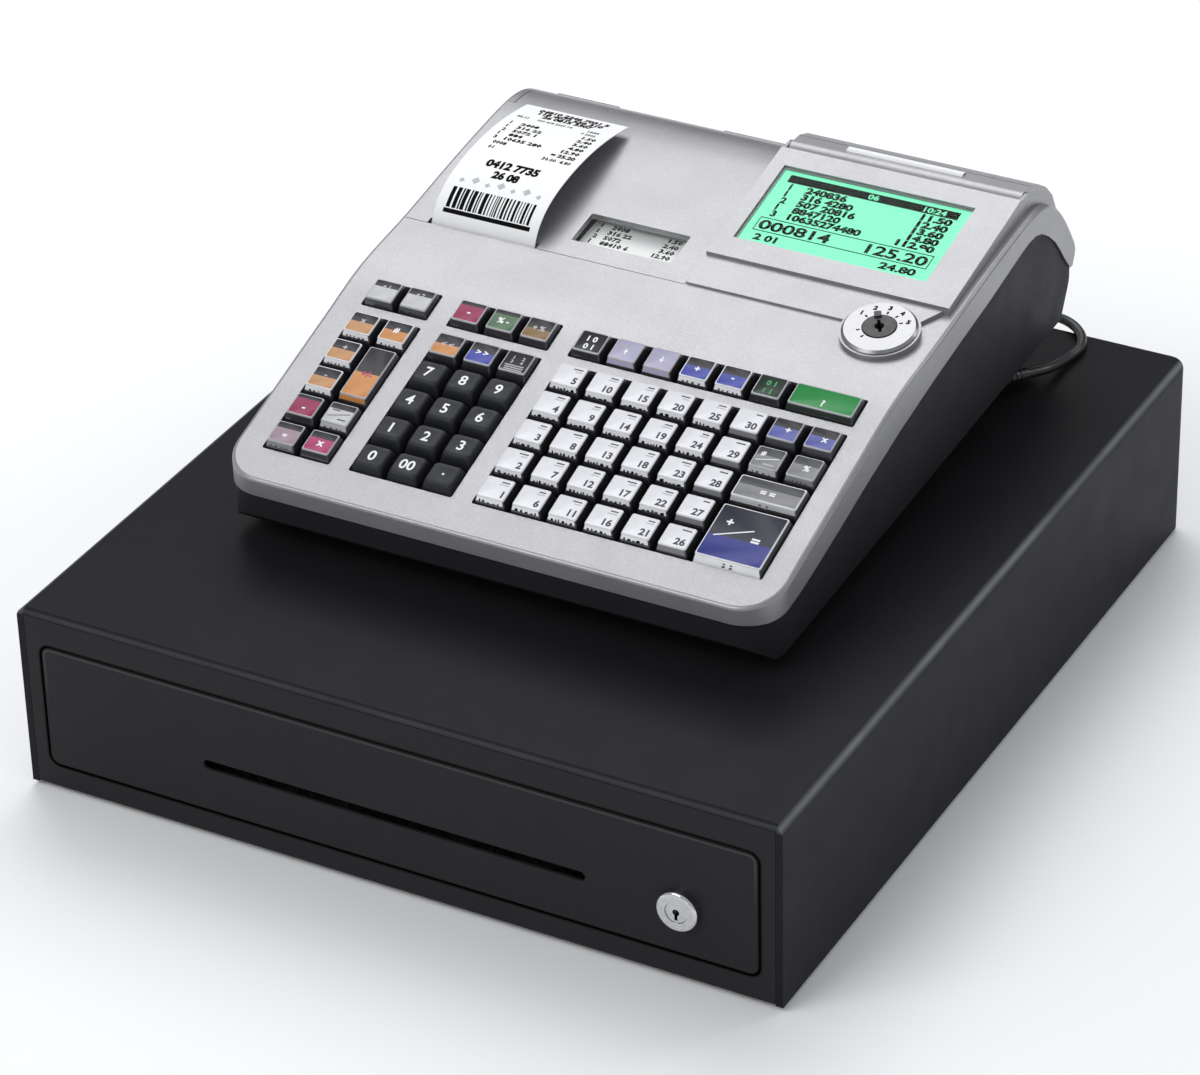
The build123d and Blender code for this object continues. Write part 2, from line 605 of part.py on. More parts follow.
JW = (-57.2, -2.4, 60.0, 82.0)                       # journal window
with BuildPart() as printer_cover:
    add(cover_shell.part)
    with BuildSketch(Plane.XY.offset(ZT + 60)):
        with BuildLine():
            Polyline((-152, SEAM_Y + 0.4), (COVER_X1, SEAM_Y + 0.4), (COVER_X1, HINGE_Y - 0.4),
                     (-140.0, HINGE_Y - 0.4), (-140.0, 153.6), (-152, 153.6), close=True)
        make_face()
    extrude(amount=60, mode=Mode.INTERSECT)
    with BuildSketch(Plane.YZ.offset(-152.5)):
        with BuildLine():
            Polyline(yz(150.0, 60), yz(150.0, 97.6), yz(154.0, 106.6), yz(158.0, 106.6), yz(158.0, 60), close=True)
        make_face()
        with BuildLine():
            Polyline(yz(48.0, 85.0), yz(48.8, 78.0), yz(49.7, 70.0), yz(49.7, 60.0), yz(46.0, 60.0), yz(46.0, 85.0), close=True)
        make_face()
    extrude(amount=12.5, mode=Mode.SUBTRACT)
    # journal window with its bevelled edge
    with BuildSketch(Plane.XY.offset(ZT + 120)):
        with Locations(((JW[0] + JW[1]) / 2, (JW[2] + JW[3]) / 2)):
            RectangleRounded(JW[1] - JW[0], JW[3] - JW[2], 1.0)
    extrude(amount=-60, mode=Mode.SUBTRACT)
    # paper slot at the front edge, with the toothed tear bar's seat
    box_between(-131.6, -70.0, SEAM_Y - 1, SEAM_Y + 4.4, ZT + 70, ZT + 110)
    # knuckles
    for xa, xb in HINGES:
        for ka, kb in ((xa - 8.8, xa), (xb, xb + 8.8)):
            with BuildSketch(Plane.YZ.offset(ka)):
                with Locations((HINGE_Y, HINGE_Z)):
                    Circle(3.5)
            extrude(amount=kb - ka, mode=Mode.SUBTRACT)
        with BuildSketch(Plane.YZ.offset(xa)):
            with Locations((HINGE_Y, HINGE_Z)):
                Circle(3.0)
            with Locations((HINGE_Y - 2.6, HINGE_Z - 0.6)):
                Rectangle(3.4, 4.0)
        extrude(amount=xb - xa)
        with BuildSketch(Plane.YZ.offset(xa)):
            with Locations((HINGE_Y, HINGE_Z)):
                Circle(1.56)
        extrude(amount=xb - xa, mode=Mode.SUBTRACT)
printer_cover.part.label = "printer_cover"

with BuildPart() as tear_bar:
    # toothed steel strip across the paper slot
    with BuildSketch(Plane.XY.offset(ZT + 84.0)):
        with BuildLine():
            teeth = []
            n = 30
            for k in range(n):
                xk = -131.0 + 60.4 * k / n
                teeth += [(xk, SEAM_Y + 3.2), (xk + 60.4 / n / 2, SEAM_Y + 2.5)]
            Polyline(*teeth, (-70.6, SEAM_Y + 3.2), (-70.6, SEAM_Y + 4.3), (-131.0, SEAM_Y + 4.3), close=True)
        make_face()
    extrude(amount=3.2)
tear_bar.part.label = "tear_bar"

# the skin of the cover near the journal window, to shape the lens to it
with BuildPart() as journal_window:
    add(cover_shell.part)
    with BuildSketch(Plane.XY.offset(ZT + 60)):
        with Locations(((JW[0] + JW[1]) / 2, (JW[2] + JW[3]) / 2)):
            RectangleRounded(JW[1] - JW[0] - 0.1, JW[3] - JW[2] - 0.1, 1.0)
    extrude(amount=60, mode=Mode.INTERSECT)
    # 1.2 mm below the skin outside, 1.2 mm thick
    with BuildSketch(Plane.YZ.offset(-70)):
        with BuildLine():
            Polyline(yz(55, 89.5 - 1.1), yz(90, 95.5 - 1.1), (90, 240), (55, 240), close=True)
        make_face()
    extrude(amount=80, mode=Mode.SUBTRACT)
journal_window.part.label = "journal_window"

# receipt: leaves the slot, arches back over the cover
RECEIPT = [(49.0, 84.6), (50.4, 90.0), (56.0, 97.4), (66.0, 103.6), (83.0, 108.4), (104.0, 110.9),
           (128.0, 110.4), (148.0, 107.6)]
PAPER_T = 0.35
receipt_under = []
for i, (ry, rz) in enumerate(RECEIPT):
    (ya, za), (yb, zb) = RECEIPT[max(i - 1, 0)], RECEIPT[min(i + 1, len(RECEIPT) - 1)]
    ln = hypot(yb - ya, zb - za)
    receipt_under.append((ry + PAPER_T * (zb - za) / ln, rz - PAPER_T * (yb - ya) / ln))
with BuildPart() as receipt_paper:
    with BuildSketch(Plane.YZ.offset(-129.8)):
        with BuildLine():
            r1 = Spline(*[yz(*q) for q in RECEIPT])
            r2 = Line(r1 @ 1, yz(*receipt_under[-1]))
            r3 = Spline(*[yz(*q) for q in reversed(receipt_under)])
            r4 = Line(r3 @ 1, r1 @ 0)
        make_face()
    extrude(amount=58.0)
receipt_paper.part.label = "receipt_paper"

# ------------------------------------------------------------------
# printer under the cover
# ------------------------------------------------------------------
ROLL_A = (140.0, ZT + 50.0)      # receipt roll centre (y, z)
ROLL_B = (143.0, ZT + 50.0)      # journal roll centre
PLATEN = (64.0, ZT + 72.0)
with BuildPart() as printer_frame:
    for xa in (-138.0, -66.4, 6.0):
        with BuildSketch(Plane.YZ.offset(xa)) as cheek:
            with BuildLine():
                Polyline((54, ZT + 50), (182, ZT + 50), (182, ZT + 74), (160, ZT + 86), (110, ZT + 87),
                         (92, ZT + 86), (70, ZT + 82), (54, ZT + 76), close=True)
            make_face()
            with Locations(PLATEN):
                Circle(2.06, mode=Mode.SUBTRACT)
        extrude(amount=2)
    # stub axles for the rolls
    for xa, xb, c in ((-136, -131, ROLL_A), (-72.4, -66.4, ROLL_A), (-64.4, -58.4, ROLL_B), (0, 6, ROLL_B)):
        with BuildSketch(Plane.YZ.offset(xa)):
            with Locations(c):
                Circle(5.5)
        extrude(amount=xb - xa)
    # cross bars, the front one carries the print head
    box_between(-137, 7, 54, 57, ZT + 50, ZT + 70, Mode.ADD)
    box_between(-137, 7, 179, 182, ZT + 50, ZT + 72, Mode.ADD)
    # legs down to the floor of the lower case
    for x in (-110, 0):
        for y in (58, 176):
            box_between(x - 4, x + 4, y - 4, y + 4, ZT + 3, ZT + 50.5, Mode.ADD)
    # guide under the journal window
    with BuildSketch(Plane.YZ.offset(-65.0)):
        with BuildLine():
            Polyline(yz(70, 82.4), yz(90, 86.0), yz(90, 84.0), yz(70, 80.4), close=True)
        make_face()
    extrude(amount=71.6)
printer_frame.part.label = "printer_frame"

with BuildPart() as platen_roller:
    with BuildSketch(Plane.YZ.offset(-140.0)):
        with Locations(PLATEN):
            Circle(2.0)
    extrude(amount=149)
    for xa, xb in ((-135.0, -69.0), (-62.4, 4.0)):
        with BuildSketch(Plane.YZ.offset(xa)):
            with Locations(PLATEN):
                Circle(5.6)
        extrude(amount=xb - xa)
platen_roller.part.label = "platen_roller"

with BuildPart() as receipt_roll:
    with BuildSketch(Plane.YZ.offset(-130.6)):
        with Locations(ROLL_A):
            Circle(31)
            Circle(5.58, mode=Mode.SUBTRACT)
    extrude(amount=57.6)
receipt_roll.part.label = "receipt_roll"

with BuildPart() as journal_roll:
    with BuildSketch(Plane.YZ.offset(-58.0)):
        with Locations(ROLL_B):
            Circle(27)
            Circle(5.58, mode=Mode.SUBTRACT)
    extrude(amount=57.6)
journal_roll.part.label = "journal_roll"

# paper seen through the journal window, drawn over its guide
with BuildPart() as journal_paper:
    with BuildSketch(Plane.YZ.offset(-58.0)):
        with BuildLine():
            Polyline(yz(70, 82.9), yz(89.6, 86.43), yz(89.6, 86.83), yz(58, 83.0), yz(58, 82.6), close=True)
        make_face()
    extrude(amount=57.0)
journal_paper.part.label = "journal_paper"

# ------------------------------------------------------------------
# operator display
# ------------------------------------------------------------------
DX0, DX1 = 12.4, 141.4
with BuildPart() as display_block:
    with BuildSketch(Plane.YZ.offset(DX0)):
        with BuildLine():
            Polyline(yz(48.3, 60), yz(48.3, 89.3), yz(69.3, 93.9), yz(69.3, 95.7), yz(151.3, 114.3), yz(151.3, 60), close=True)
        make_face()
    extrude(amount=DX1 - DX0)
with BuildPart() as display_housing:
    add(display_block.part)
    # only what stands above the outer skin of the upper case
    add(cover_outer.part, mode=Mode.SUBTRACT)
    # the skirt in front of the panel ends in a diagonal beside the mode switch
    with BuildSketch(Plane.XY.offset(ZT + 60)):
        with BuildLine():
            Polyline((124.5, 47), (150, 47), (150, 69.0), (138.6, 69.0), close=True)
        make_face()
    extrude(amount=60, mode=Mode.SUBTRACT)
    # collar of the mode switch
    with BuildSketch(MODE.offset(-4.0)):
        Circle(19.6)
    extrude(amount=6.2)
    with BuildSketch(MODE.offset(-12)):
        Circle(8.6)
    extrude(amount=30, mode=Mode.SUBTRACT)
    # clear the collar's underside from the case, and from the space above the ring
    add(cover_outer.part, mode=Mode.SUBTRACT)
    with BuildSketch(MODE.offset(2.2)):
        Circle(19.6)
    extrude(amount=12, mode=Mode.SUBTRACT)
    # cheeks that carry the rear display
    for xa in (DX0, DX1 - 1.6):
        with BuildSketch(Plane.YZ.offset(xa)):
            with Locations(yz(*HUB_C)):
                Circle(6.6)
            with BuildLine():
                Polyline(yz(150.0, 98.0), yz(150.0, 113.4), yz(159.0, 113.9), yz(176.0, 104.0), yz(176.0, 96.0), close=True)
            make_face()
            with Locations(yz(*HUB_C)):
                Circle(2.06, mode=Mode.SUBTRACT)
        extrude(amount=1.6)
    add(cover_outer.part, mode=Mode.SUBTRACT)
    # pocket for the display module, from below, and the window seat on the panel
    with BuildSketch(PANEL.offset(-1.5)):
        with Locations((0, LCD_S)):
            Rectangle(LCD_W + 2.0, LCD_H + 2.0)
    extrude(amount=4, mode=Mode.SUBTRACT)
    with BuildSketch(PANEL.offset(-30)):
        with Locations((0, LCD_S)):
            Rectangle(LCD_W, LCD_H)
    extrude(amount=34, mode=Mode.SUBTRACT)
display_housing.part.label = "display_housing"

with BuildPart() as lcd_window:
    with BuildSketch(PANEL.offset(-1.5)):
        with Locations((0, LCD_S)):
            Rectangle(LCD_W + 1.9, LCD_H + 1.9)
    extrude(amount=1.3)
lcd_window.part.label = "lcd_window"

with BuildPart() as lcd_panel:
    with BuildSketch(PANEL.offset(-2.1)):
        with Locations((0, LCD_S)):
            Rectangle(LCD_W - 0.4, LCD_H - 0.4)
    extrude(amount=-5.0)
lcd_panel.part.label = "lcd_panel"

# ------------------------------------------------------------------
# rear display, tilting on its pins
# ------------------------------------------------------------------
with BuildPart() as rear_display:
    with BuildSketch(Plane.YZ.offset(DX0 + 2.0)):
        with BuildLine():
            Polyline(yz(159.0, 114.2), yz(167.0, 114.0), yz(176.0, 110.8), yz(186.0, 104.6), yz(194.2, 96.2),
                     yz(207.6, 71.0), yz(206.0, 66.8), yz(200.5, 64.8), yz(156.4, 101.0), close=True)
        make_face()
        with Locations(yz(*HUB_C)):
            Circle(6.9)
    extrude(amount=DX1 - DX0 - 4.0)
    fillet(rear_display.edges().filter_by(Axis.X).filter_by(
        lambda e: any(abs(e.center().Y - v) < 0.2 for v in (167.0, 176.0, 186.0, 194.2))), 5)
    # hollow inside
    with BuildSketch(Plane.YZ.offset(DX0 + 4.0)):
        with BuildLine():
            Polyline(yz(164.5, 109.0), yz(173.0, 107.4), yz(183.0, 101.2), yz(190.2, 93.8), yz(201.6, 73.4),
                     yz(199.6, 71.0), yz(164.5, 99.6), close=True)
        make_face()
    extrude(amount=DX1 - DX0 - 8.0, mode=Mode.SUBTRACT)
    # window seat on the rear face
    rear_n = Vector(0, 25.2, 13.4).normalized()
    seat = Plane(origin=Vector(76.9, 200.9, ZT + 83.6), x_dir=(1, 0, 0), z_dir=rear_n)
    with BuildSketch(seat.offset(-2.4)):
        RectangleRounded(96, 20, 1.5)
    extrude(amount=6, mode=Mode.SUBTRACT)
    with BuildSketch(seat.offset(-8)):
        RectangleRounded(90, 14, 1.0)
    extrude(amount=12, mode=Mode.SUBTRACT)
    # finger strip on top
    with BuildSketch(Plane.YZ.offset(43)):
        with BuildLine():
            Polyline(yz(160.4, 113.4), yz(161.4, 115.0), yz(164.4, 115.0), yz(165.6, 113.2), close=True)
        make_face()
    extrude(amount=63)
    # pins
    with BuildSketch(Plane.YZ.offset(DX0 - 0.1)):
        with Locations(yz(*HUB_C)):
            Circle(2.0)
    extrude(amount=DX1 - DX0 + 0.2)
rear_display.part.label = "rear_display"

with BuildPart() as rear_display_window:
    with BuildSketch(seat.offset(-2.4)):
        RectangleRounded(95.8, 19.8, 1.5)
    extrude(amount=2.0)
rear_display_window.part.label = "rear_display_window"

# ------------------------------------------------------------------
# mode switch
# ------------------------------------------------------------------
with BuildPart() as mode_ring:
    with BuildSketch(MODE.offset(2.2)):
        Circle(18.4)
        Circle(8.6, mode=Mode.SUBTRACT)
    extrude(amount=1.8)
    chamfer(mode_ring.edges().filter_by(GeomType.CIRCLE).filter_by(lambda e: e.radius > 18).sort_by(Axis.Z)[-1], 1.2)
mode_ring.part.label = "mode_ring"

with BuildPart() as mode_rotor:
    with BuildSketch(MODE.offset(-9)):
        Circle(8.52)
    extrude(amount=12.4)
    with BuildSketch(MODE.offset(3.4)):
        Circle(8.0)
    extrude(amount=1.0)
    # keyhole and the pointer tab
    with BuildSketch(MODE.offset(-2)):
        Circle(2.4)
        Rectangle(1.6, 9.0, rotation=30)
    extrude(amount=10, mode=Mode.SUBTRACT)
    with BuildSketch(MODE.offset(4.3)):
        with Locations(Location((-4.0, 6.93, 0), (0, 0, 30))):
            RectangleRounded(3.6, 3.6, 0.8)
    extrude(amount=1.2)
mode_rotor.part.label = "mode_rotor"

# ==================================================================
# KEYBOARD
# ==================================================================
with BuildPart() as key_plate:
    with BuildSketch(DECK.offset(-9.6)):
        with Locations((0, 92)):
            RectangleRounded(280, 140, 14)
    extrude(amount=1.5)
    with BuildSketch(DECK.offset(-12)):
        for x, s, nx, ny in WINDOWS:
            with Locations((x, s)):
                with GridLocations(PITCH, PITCH, nx, ny):
                    Rectangle(7.0, 7.0)
    extrude(amount=6, mode=Mode.SUBTRACT)
key_plate.part.label = "key_plate"

def cap(x, s, nx=1, ny=1):
    """One key: flared skirt, top face set towards the rear, guide stem."""
    w = PITCH * (nx - 1) + KEY
    d = PITCH * (ny - 1) + KEY
    with BuildSketch(DECK.offset(-4.8)) as skirt:
        with Locations((x, s)):
            RectangleRounded(w, d, 1.2)
    extrude(skirt.sketch, amount=3.2)
    with BuildSketch(DECK.offset(-1.6)) as low:
        with Locations((x, s)):
            RectangleRounded(w, d, 1.2)
    with BuildSketch(DECK.offset(3.2)) as high:
        with Locations((x, s + 0.7)):
            RectangleRounded(w - 2.6, d - 4.0, 1.0)
    loft(sections=[low.sketch, high.sketch], ruled=True)
    with BuildSketch(DECK.offset(-4.8)) as stem:
        with Locations((x - PITCH * (nx - 1) / 2, s - PITCH * (ny - 1) / 2)):
            Rectangle(5.4, 5.4)
    extrude(stem.sketch, amount=-8.0)


def grid(xc, sc, nx, ny, col, row):
    """Centre of a key; columns from the left, rows from the front."""
    return xc + (col - (nx - 1) / 2) * PITCH, sc + (row - (ny - 1) / 2) * PITCH


A = (-113.0, U_S, 2, 1)
B = (-113.0, M_S, 2, 5)
C = (-56.0, U_S, 3, 1)
D = (-56.0, M_S, 3, 5)
E = (57.9, U_S, 8, 1)
F = (57.9, M_S, 8, 5)
KEYS = {
    "feed_keys": [(A, c, 0, 1, 1) for c in (0, 1)],
    "left_keys": [(B, 0, r, 1, 1) for r in range(5)] + [(B, 1, 4, 1, 1), (B, 1, 1, 1, 1), (B, 1, 0, 1, 1)],
    "tall_key": [(B, 1, 2.5, 1, 2)],
    "correction_keys": [(C, c, 0, 1, 1) for c in range(3)],
    "entry_keys": [(D, c, 4, 1, 1) for c in range(3)],
    "number_keys_high": [(D, c, r, 1, 1) for r in (3, 2) for c in range(3)],
    "number_keys_low": [(D, c, r, 1, 1) for r in (1, 0) for c in range(3)],
    "upper_keys": [(E, c, 0, 1, 1) for c in range(6)],
    "wide_key": [(E, 6.5, 0, 2, 1)],
    "item_keys_left": [(F, c, r, 1, 1) for c in (0, 1) for r in range(5)],
    "item_keys_middle": [(F, c, r, 1, 1) for c in (2, 3) for r in range(5)],
    "item_keys_right": [(F, c, r, 1, 1) for c in (4, 5) for r in range(5)],
    "payment_keys": [(F, c, r, 1, 1) for c in (6, 7) for r in (4, 3)],
    "subtotal_key": [(F, 6.5, 2, 2, 1)],
    "total_key": [(F, 6.5, 0.5, 2, 2)],
}
key_parts = []
for name, keys in KEYS.items():
    with BuildPart() as cap_target:
        for blk, col, row, nx, ny in keys:
            kx, ks = grid(*blk, col, row)
            cap(kx, ks, nx, ny)
    cap_target.part.label = name
    key_parts.append(cap_target)

# ==================================================================
# INSIDE THE LOWER CASE
# ==================================================================
with BuildPart() as circuit_boards:
    # key board under the guide plate
    with BuildSketch(DECK.offset(-18.0)):
        with Locations((0, 92)):
            RectangleRounded(280, 140, 14)
    extrude(amount=1.6)
    # main board on its pillars
    box_between(-122, 122, -98, 44, ZT + 12, ZT + 13.6, Mode.ADD)
    box_between(60, 112, -20, 36, ZT + 13.6, ZT + 34, Mode.ADD)        # transformer
    box_between(-100, -60, -60, -30, ZT + 13.6, ZT + 17, Mode.ADD)
    box_between(-30, 10, -50, -10, ZT + 13.6, ZT + 16, Mode.ADD)
    for x in (-115, 115):
        for y in (-90, 36):
            with BuildSketch(Plane.XY.offset(ZT + 7.5)):
                with Locations((x, y)):
                    Circle(3)
            extrude(amount=4.5)
circuit_boards.part.label = "circuit_boards"

with BuildPart() as case_screws:
    # pan heads on the rear wall, shanks through the cover into the flange of the base plate
    with BuildSketch(Plane.XZ.offset(-CAB_REAR)):
        with Locations(*[(x, 12) for x in SCREW_X]):
            Circle(3.4)
    extrude(amount=-1.6)
    fillet(case_screws.faces().filter_by(Axis.Y).group_by(Axis.Y)[-1].edges(), 0.8)
    with BuildSketch(Plane.XZ.offset(-CAB_REAR)):
        with Locations(*[(x, 12) for x in SCREW_X]):
            Circle(1.5)
    extrude(amount=6)
    with BuildSketch(Plane.XZ.offset(-CAB_REAR - 2)):
        with Locations(*[(x, 12) for x in SCREW_X]):
            Rectangle(3.4, 0.7)
            Rectangle(0.7, 3.4)
    extrude(amount=1.2, mode=Mode.SUBTRACT)
case_screws.part.label = "case_screws"

# ==================================================================
# MAINS LEAD
# ==================================================================
rel_plane = Plane(origin=REL_P - REL_D * 12.0, z_dir=REL_D)
with BuildPart() as strain_relief:
    with BuildSketch(rel_plane):
        Circle(3.95)
    extrude(amount=13.0)
    with BuildSketch(rel_plane.offset(13.0)):
        Circle(3.9)
    with BuildSketch(rel_plane.offset(28.0)):
        Circle(3.1)
    loft()
    for k in range(4):
        with BuildSketch(rel_plane.offset(15.0 + 3.2 * k)):
            Circle(6)
            Circle(3.15, mode=Mode.SUBTRACT)
        extrude(amount=1.4, mode=Mode.SUBTRACT)
strain_relief.part.label = "strain_relief"

TIP = REL_P + REL_D * 16.0
COIL_C = (67.0, 303.0)
COIL_R = 33.0                                       # outer turn
COIL_IN, COIL_OUT, COIL_H = 19.0, 36.0, 15.2
ROUTE = [
    (TIP.X, TIP.Y, TIP.Z),
    (146.5, 176.4, 107.9),
    (147.6, 189.6, 104.9),
    (148.4, 201.4, 102.9),
    (150.0, 213.8, 102.8),
    (144.0, 226.8, 103.1),
    (131.4, 235.6, 103.3),
    (117.2, 242.6, 98.4),
    (105.6, 247.4, 85.2),
    (101.4, 249.8, 68.2),
    (100.2, 249.6, 50.0),
    (99.2, 250.4, 33.0),
    (99.8, 256.2, 17.2),
    (100.8, 268.4, 6.2),
    (100.2, 284.0, 2.9),
    (100.0, 299.0, 2.8),
]


def corner_radii(points):
    out = []
    v = [Vector(*q) for q in points]
    for i in range(1, len(v) - 1):
        a, b = v[i] - v[i - 1], v[i + 1] - v[i]
        turn = radians(a.get_angle(b))
        out.append(0.45 * min(a.length, b.length) / tan(turn / 2))
    return out


radii = corner_radii(ROUTE)
runs = [(Vector(*ROUTE[i + 1]) - Vector(*ROUTE[i])).length for i in range(len(ROUTE) - 1)]
print("cord runs", [round(r, 1) for r in runs])
print("cord radii", [round(r, 1) for r in radii])
with BuildPart() as mains_cord:
    with BuildLine() as route_line:
        FilletPolyline(*ROUTE, radius=radii)
    with BuildSketch(Plane(origin=ROUTE[0], z_dir=route_line.line % 0)):
        Circle(CORD_D / 2)
    sweep()
tube_length = sum(e.length for e in route_line.edges())
print("cord tube length", round(tube_length, 1), "volume", round(mains_cord.part.volume, 1),
      "section x length", round(tube_length * pi * CORD_D ** 2 / 4, 1))
mains_cord.part.label = "mains_cord"

with BuildPart() as cord_coil:
    with BuildSketch(Plane.XY.offset(0.2)):
        with Locations(COIL_C):
            Circle(COIL_OUT)
            Circle(COIL_IN, mode=Mode.SUBTRACT)
    extrude(amount=COIL_H)
    fillet(cord_coil.edges().filter_by(GeomType.CIRCLE), 2.4)
cord_coil.part.label = "cord_coil"

# moulded two-pin plug beside the coil, its cord end at the coil's left side
PLUG_X = COIL_C[0] - COIL_R
with BuildPart() as mains_plug:
    with BuildSketch(Plane.XZ.offset(-290.0)):
        with Locations((PLUG_X, 7.4)):
            Circle(3.0)
    with BuildSketch(Plane.XZ.offset(-276.0)):
        with Locations((PLUG_X, 7.4)):
            Circle(4.2)
    loft()
    with BuildSketch(Plane.XZ.offset(-276.0)):
        with Locations((PLUG_X, 7.4)):
            RectangleRounded(18, 12, 4)
    with BuildSketch(Plane.XZ.offset(-256.0)):
        with Locations((PLUG_X, 7.4)):
            RectangleRounded(35, 14, 5)
    loft()
    with BuildSketch(Plane.XZ.offset(-256.0)):
        with Locations((PLUG_X - 9.5, 7.4), (PLUG_X + 9.5, 7.4)):
            Circle(2.0)
    extrude(amount=18.0)
mains_plug.part.label = "mains_plug"

# ------------------------------------------------------------------
PARTS = [drawer_cabinet, cabinet_floor, front_frame, cabinet_feet, cabinet_rails, latch_solenoid, latch_bolt,
         drawer_front, drawer_box, drawer_rails, till_tray, clip_rod, *note_clips, lock_barrel, lock_plug,
         lock_cam, register_base, register_feet, top_cover, printer_cover, tear_bar, journal_window,
         receipt_paper, printer_frame, platen_roller, receipt_roll, journal_roll, journal_paper,
         display_housing, lcd_window, lcd_panel, rear_display, rear_display_window, mode_ring,
         mode_rotor, key_plate, *key_parts, circuit_boards, case_screws, strain_relief, mains_cord,
         cord_coil, mains_plug]
for p in PARTS:
    export_step(p.part, f"parts/{p.part.label}.step")
print(len(PARTS), "parts")
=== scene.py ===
import bpy, bmesh, math, random
from mathutils import Vector, Matrix
from mathutils.bvhtree import BVHTree


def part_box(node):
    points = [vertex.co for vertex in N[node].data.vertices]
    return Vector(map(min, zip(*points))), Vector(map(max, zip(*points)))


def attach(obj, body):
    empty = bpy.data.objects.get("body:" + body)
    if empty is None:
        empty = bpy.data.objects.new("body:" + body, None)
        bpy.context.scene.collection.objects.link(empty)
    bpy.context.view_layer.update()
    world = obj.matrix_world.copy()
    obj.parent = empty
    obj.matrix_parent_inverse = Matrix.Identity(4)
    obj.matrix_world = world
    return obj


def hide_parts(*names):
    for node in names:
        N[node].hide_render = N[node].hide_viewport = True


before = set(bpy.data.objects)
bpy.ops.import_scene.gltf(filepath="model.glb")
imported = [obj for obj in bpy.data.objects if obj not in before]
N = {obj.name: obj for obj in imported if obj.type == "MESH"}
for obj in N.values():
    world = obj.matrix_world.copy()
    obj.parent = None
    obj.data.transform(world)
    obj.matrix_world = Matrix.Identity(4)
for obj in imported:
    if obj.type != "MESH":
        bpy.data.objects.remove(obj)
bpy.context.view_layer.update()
scene = bpy.context.scene
scene.view_settings.view_transform = "Standard"
MM = 0.001
random.seed(7)


# ---------------------------------------------------------------- colour and materials
def lin(*c):
    """8-bit screen colour to linear."""
    if len(c) == 1:
        c = c * 3
    out = []
    for v in c:
        v = v / 255.0
        out.append(v / 12.92 if v <= 0.04045 else ((v + 0.055) / 1.055) ** 2.4)
    return tuple(out)


class Nodes:
    def __init__(self, name):
        self.m = bpy.data.materials.new(name)
        self.m.use_nodes = True
        self.t = self.m.node_tree
        self.t.nodes.clear()
        self.out = self.t.nodes.new("ShaderNodeOutputMaterial")
        self.p = self.t.nodes.new("ShaderNodeBsdfPrincipled")
        self.t.links.new(self.p.outputs[0], self.out.inputs[0])
        self.co = self.t.nodes.new("ShaderNodeTexCoord").outputs["Object"]

    def new(self, kind, **kw):
        n = self.t.nodes.new(kind)
        for k, v in kw.items():
            setattr(n, k, v)
        return n

    def link(self, a, b):
        self.t.links.new(a, b)

    def noise(self, scale, detail=3.0, rough=0.55, stretch=None):
        co = self.co
        if stretch:
            mp = self.new("ShaderNodeMapping")
            mp.inputs["Scale"].default_value = stretch
            self.link(co, mp.inputs[0])
            co = mp.outputs[0]
        n = self.new("ShaderNodeTexNoise")
        n.inputs["Scale"].default_value = scale
        n.inputs["Detail"].default_value = detail
        n.inputs["Roughness"].default_value = rough
        self.link(co, n.inputs["Vector"])
        return n.outputs["Fac"]

    def ramp(self, fac, stops):
        r = self.new("ShaderNodeValToRGB")
        while len(r.color_ramp.elements) < len(stops):
            r.color_ramp.elements.new(0.5)
        for e, (pos, c) in zip(r.color_ramp.elements, stops):
            e.position = pos
            if isinstance(c, (int, float)):
                c = (c, c, c)
            e.color = (*c, 1.0)
        self.link(fac, r.inputs[0])
        return r.outputs[0]

    def mix(self, fac, a, b, kind="MIX"):
        m = self.new("ShaderNodeMix", data_type="RGBA", blend_type=kind)
        for sock, v in ((m.inputs[0], fac), (m.inputs[6], a), (m.inputs[7], b)):
            if hasattr(v, "links"):
                self.link(v, sock)
            elif isinstance(v, (int, float)):
                sock.default_value = v
            else:
                sock.default_value = (*v, 1.0)
        return m.outputs[2]

    def rng(self, fac, a, b, lo=0.3, hi=0.7):
        m = self.new("ShaderNodeMapRange")
        m.inputs["From Min"].default_value = lo
        m.inputs["From Max"].default_value = hi
        m.inputs["To Min"].default_value = a
        m.inputs["To Max"].default_value = b
        self.link(fac, m.inputs[0])
        return m.outputs[0]

    def bump(self, height, strength, dist, normal=None):
        b = self.new("ShaderNodeBump")
        b.inputs["Strength"].default_value = strength
        b.inputs["Distance"].default_value = dist
        self.link(height, b.inputs["Height"])
        if normal is not None:
            self.link(normal, b.inputs["Normal"])
        self.link(b.outputs[0], self.p.inputs["Normal"])
        return b.outputs[0]

    def set(self, **kw):
        names = {"rough": "Roughness", "metal": "Metallic", "spec": "Specular IOR Level", "ior": "IOR",
                 "coat": "Coat Weight", "coat_rough": "Coat Roughness", "trans": "Transmission Weight",
                 "glow": "Emission Strength", "sub": "Subsurface Weight", "alpha": "Alpha", "aniso": "Anisotropic"}
        for k, v in kw.items():
            self.p.inputs[names[k]].default_value = v


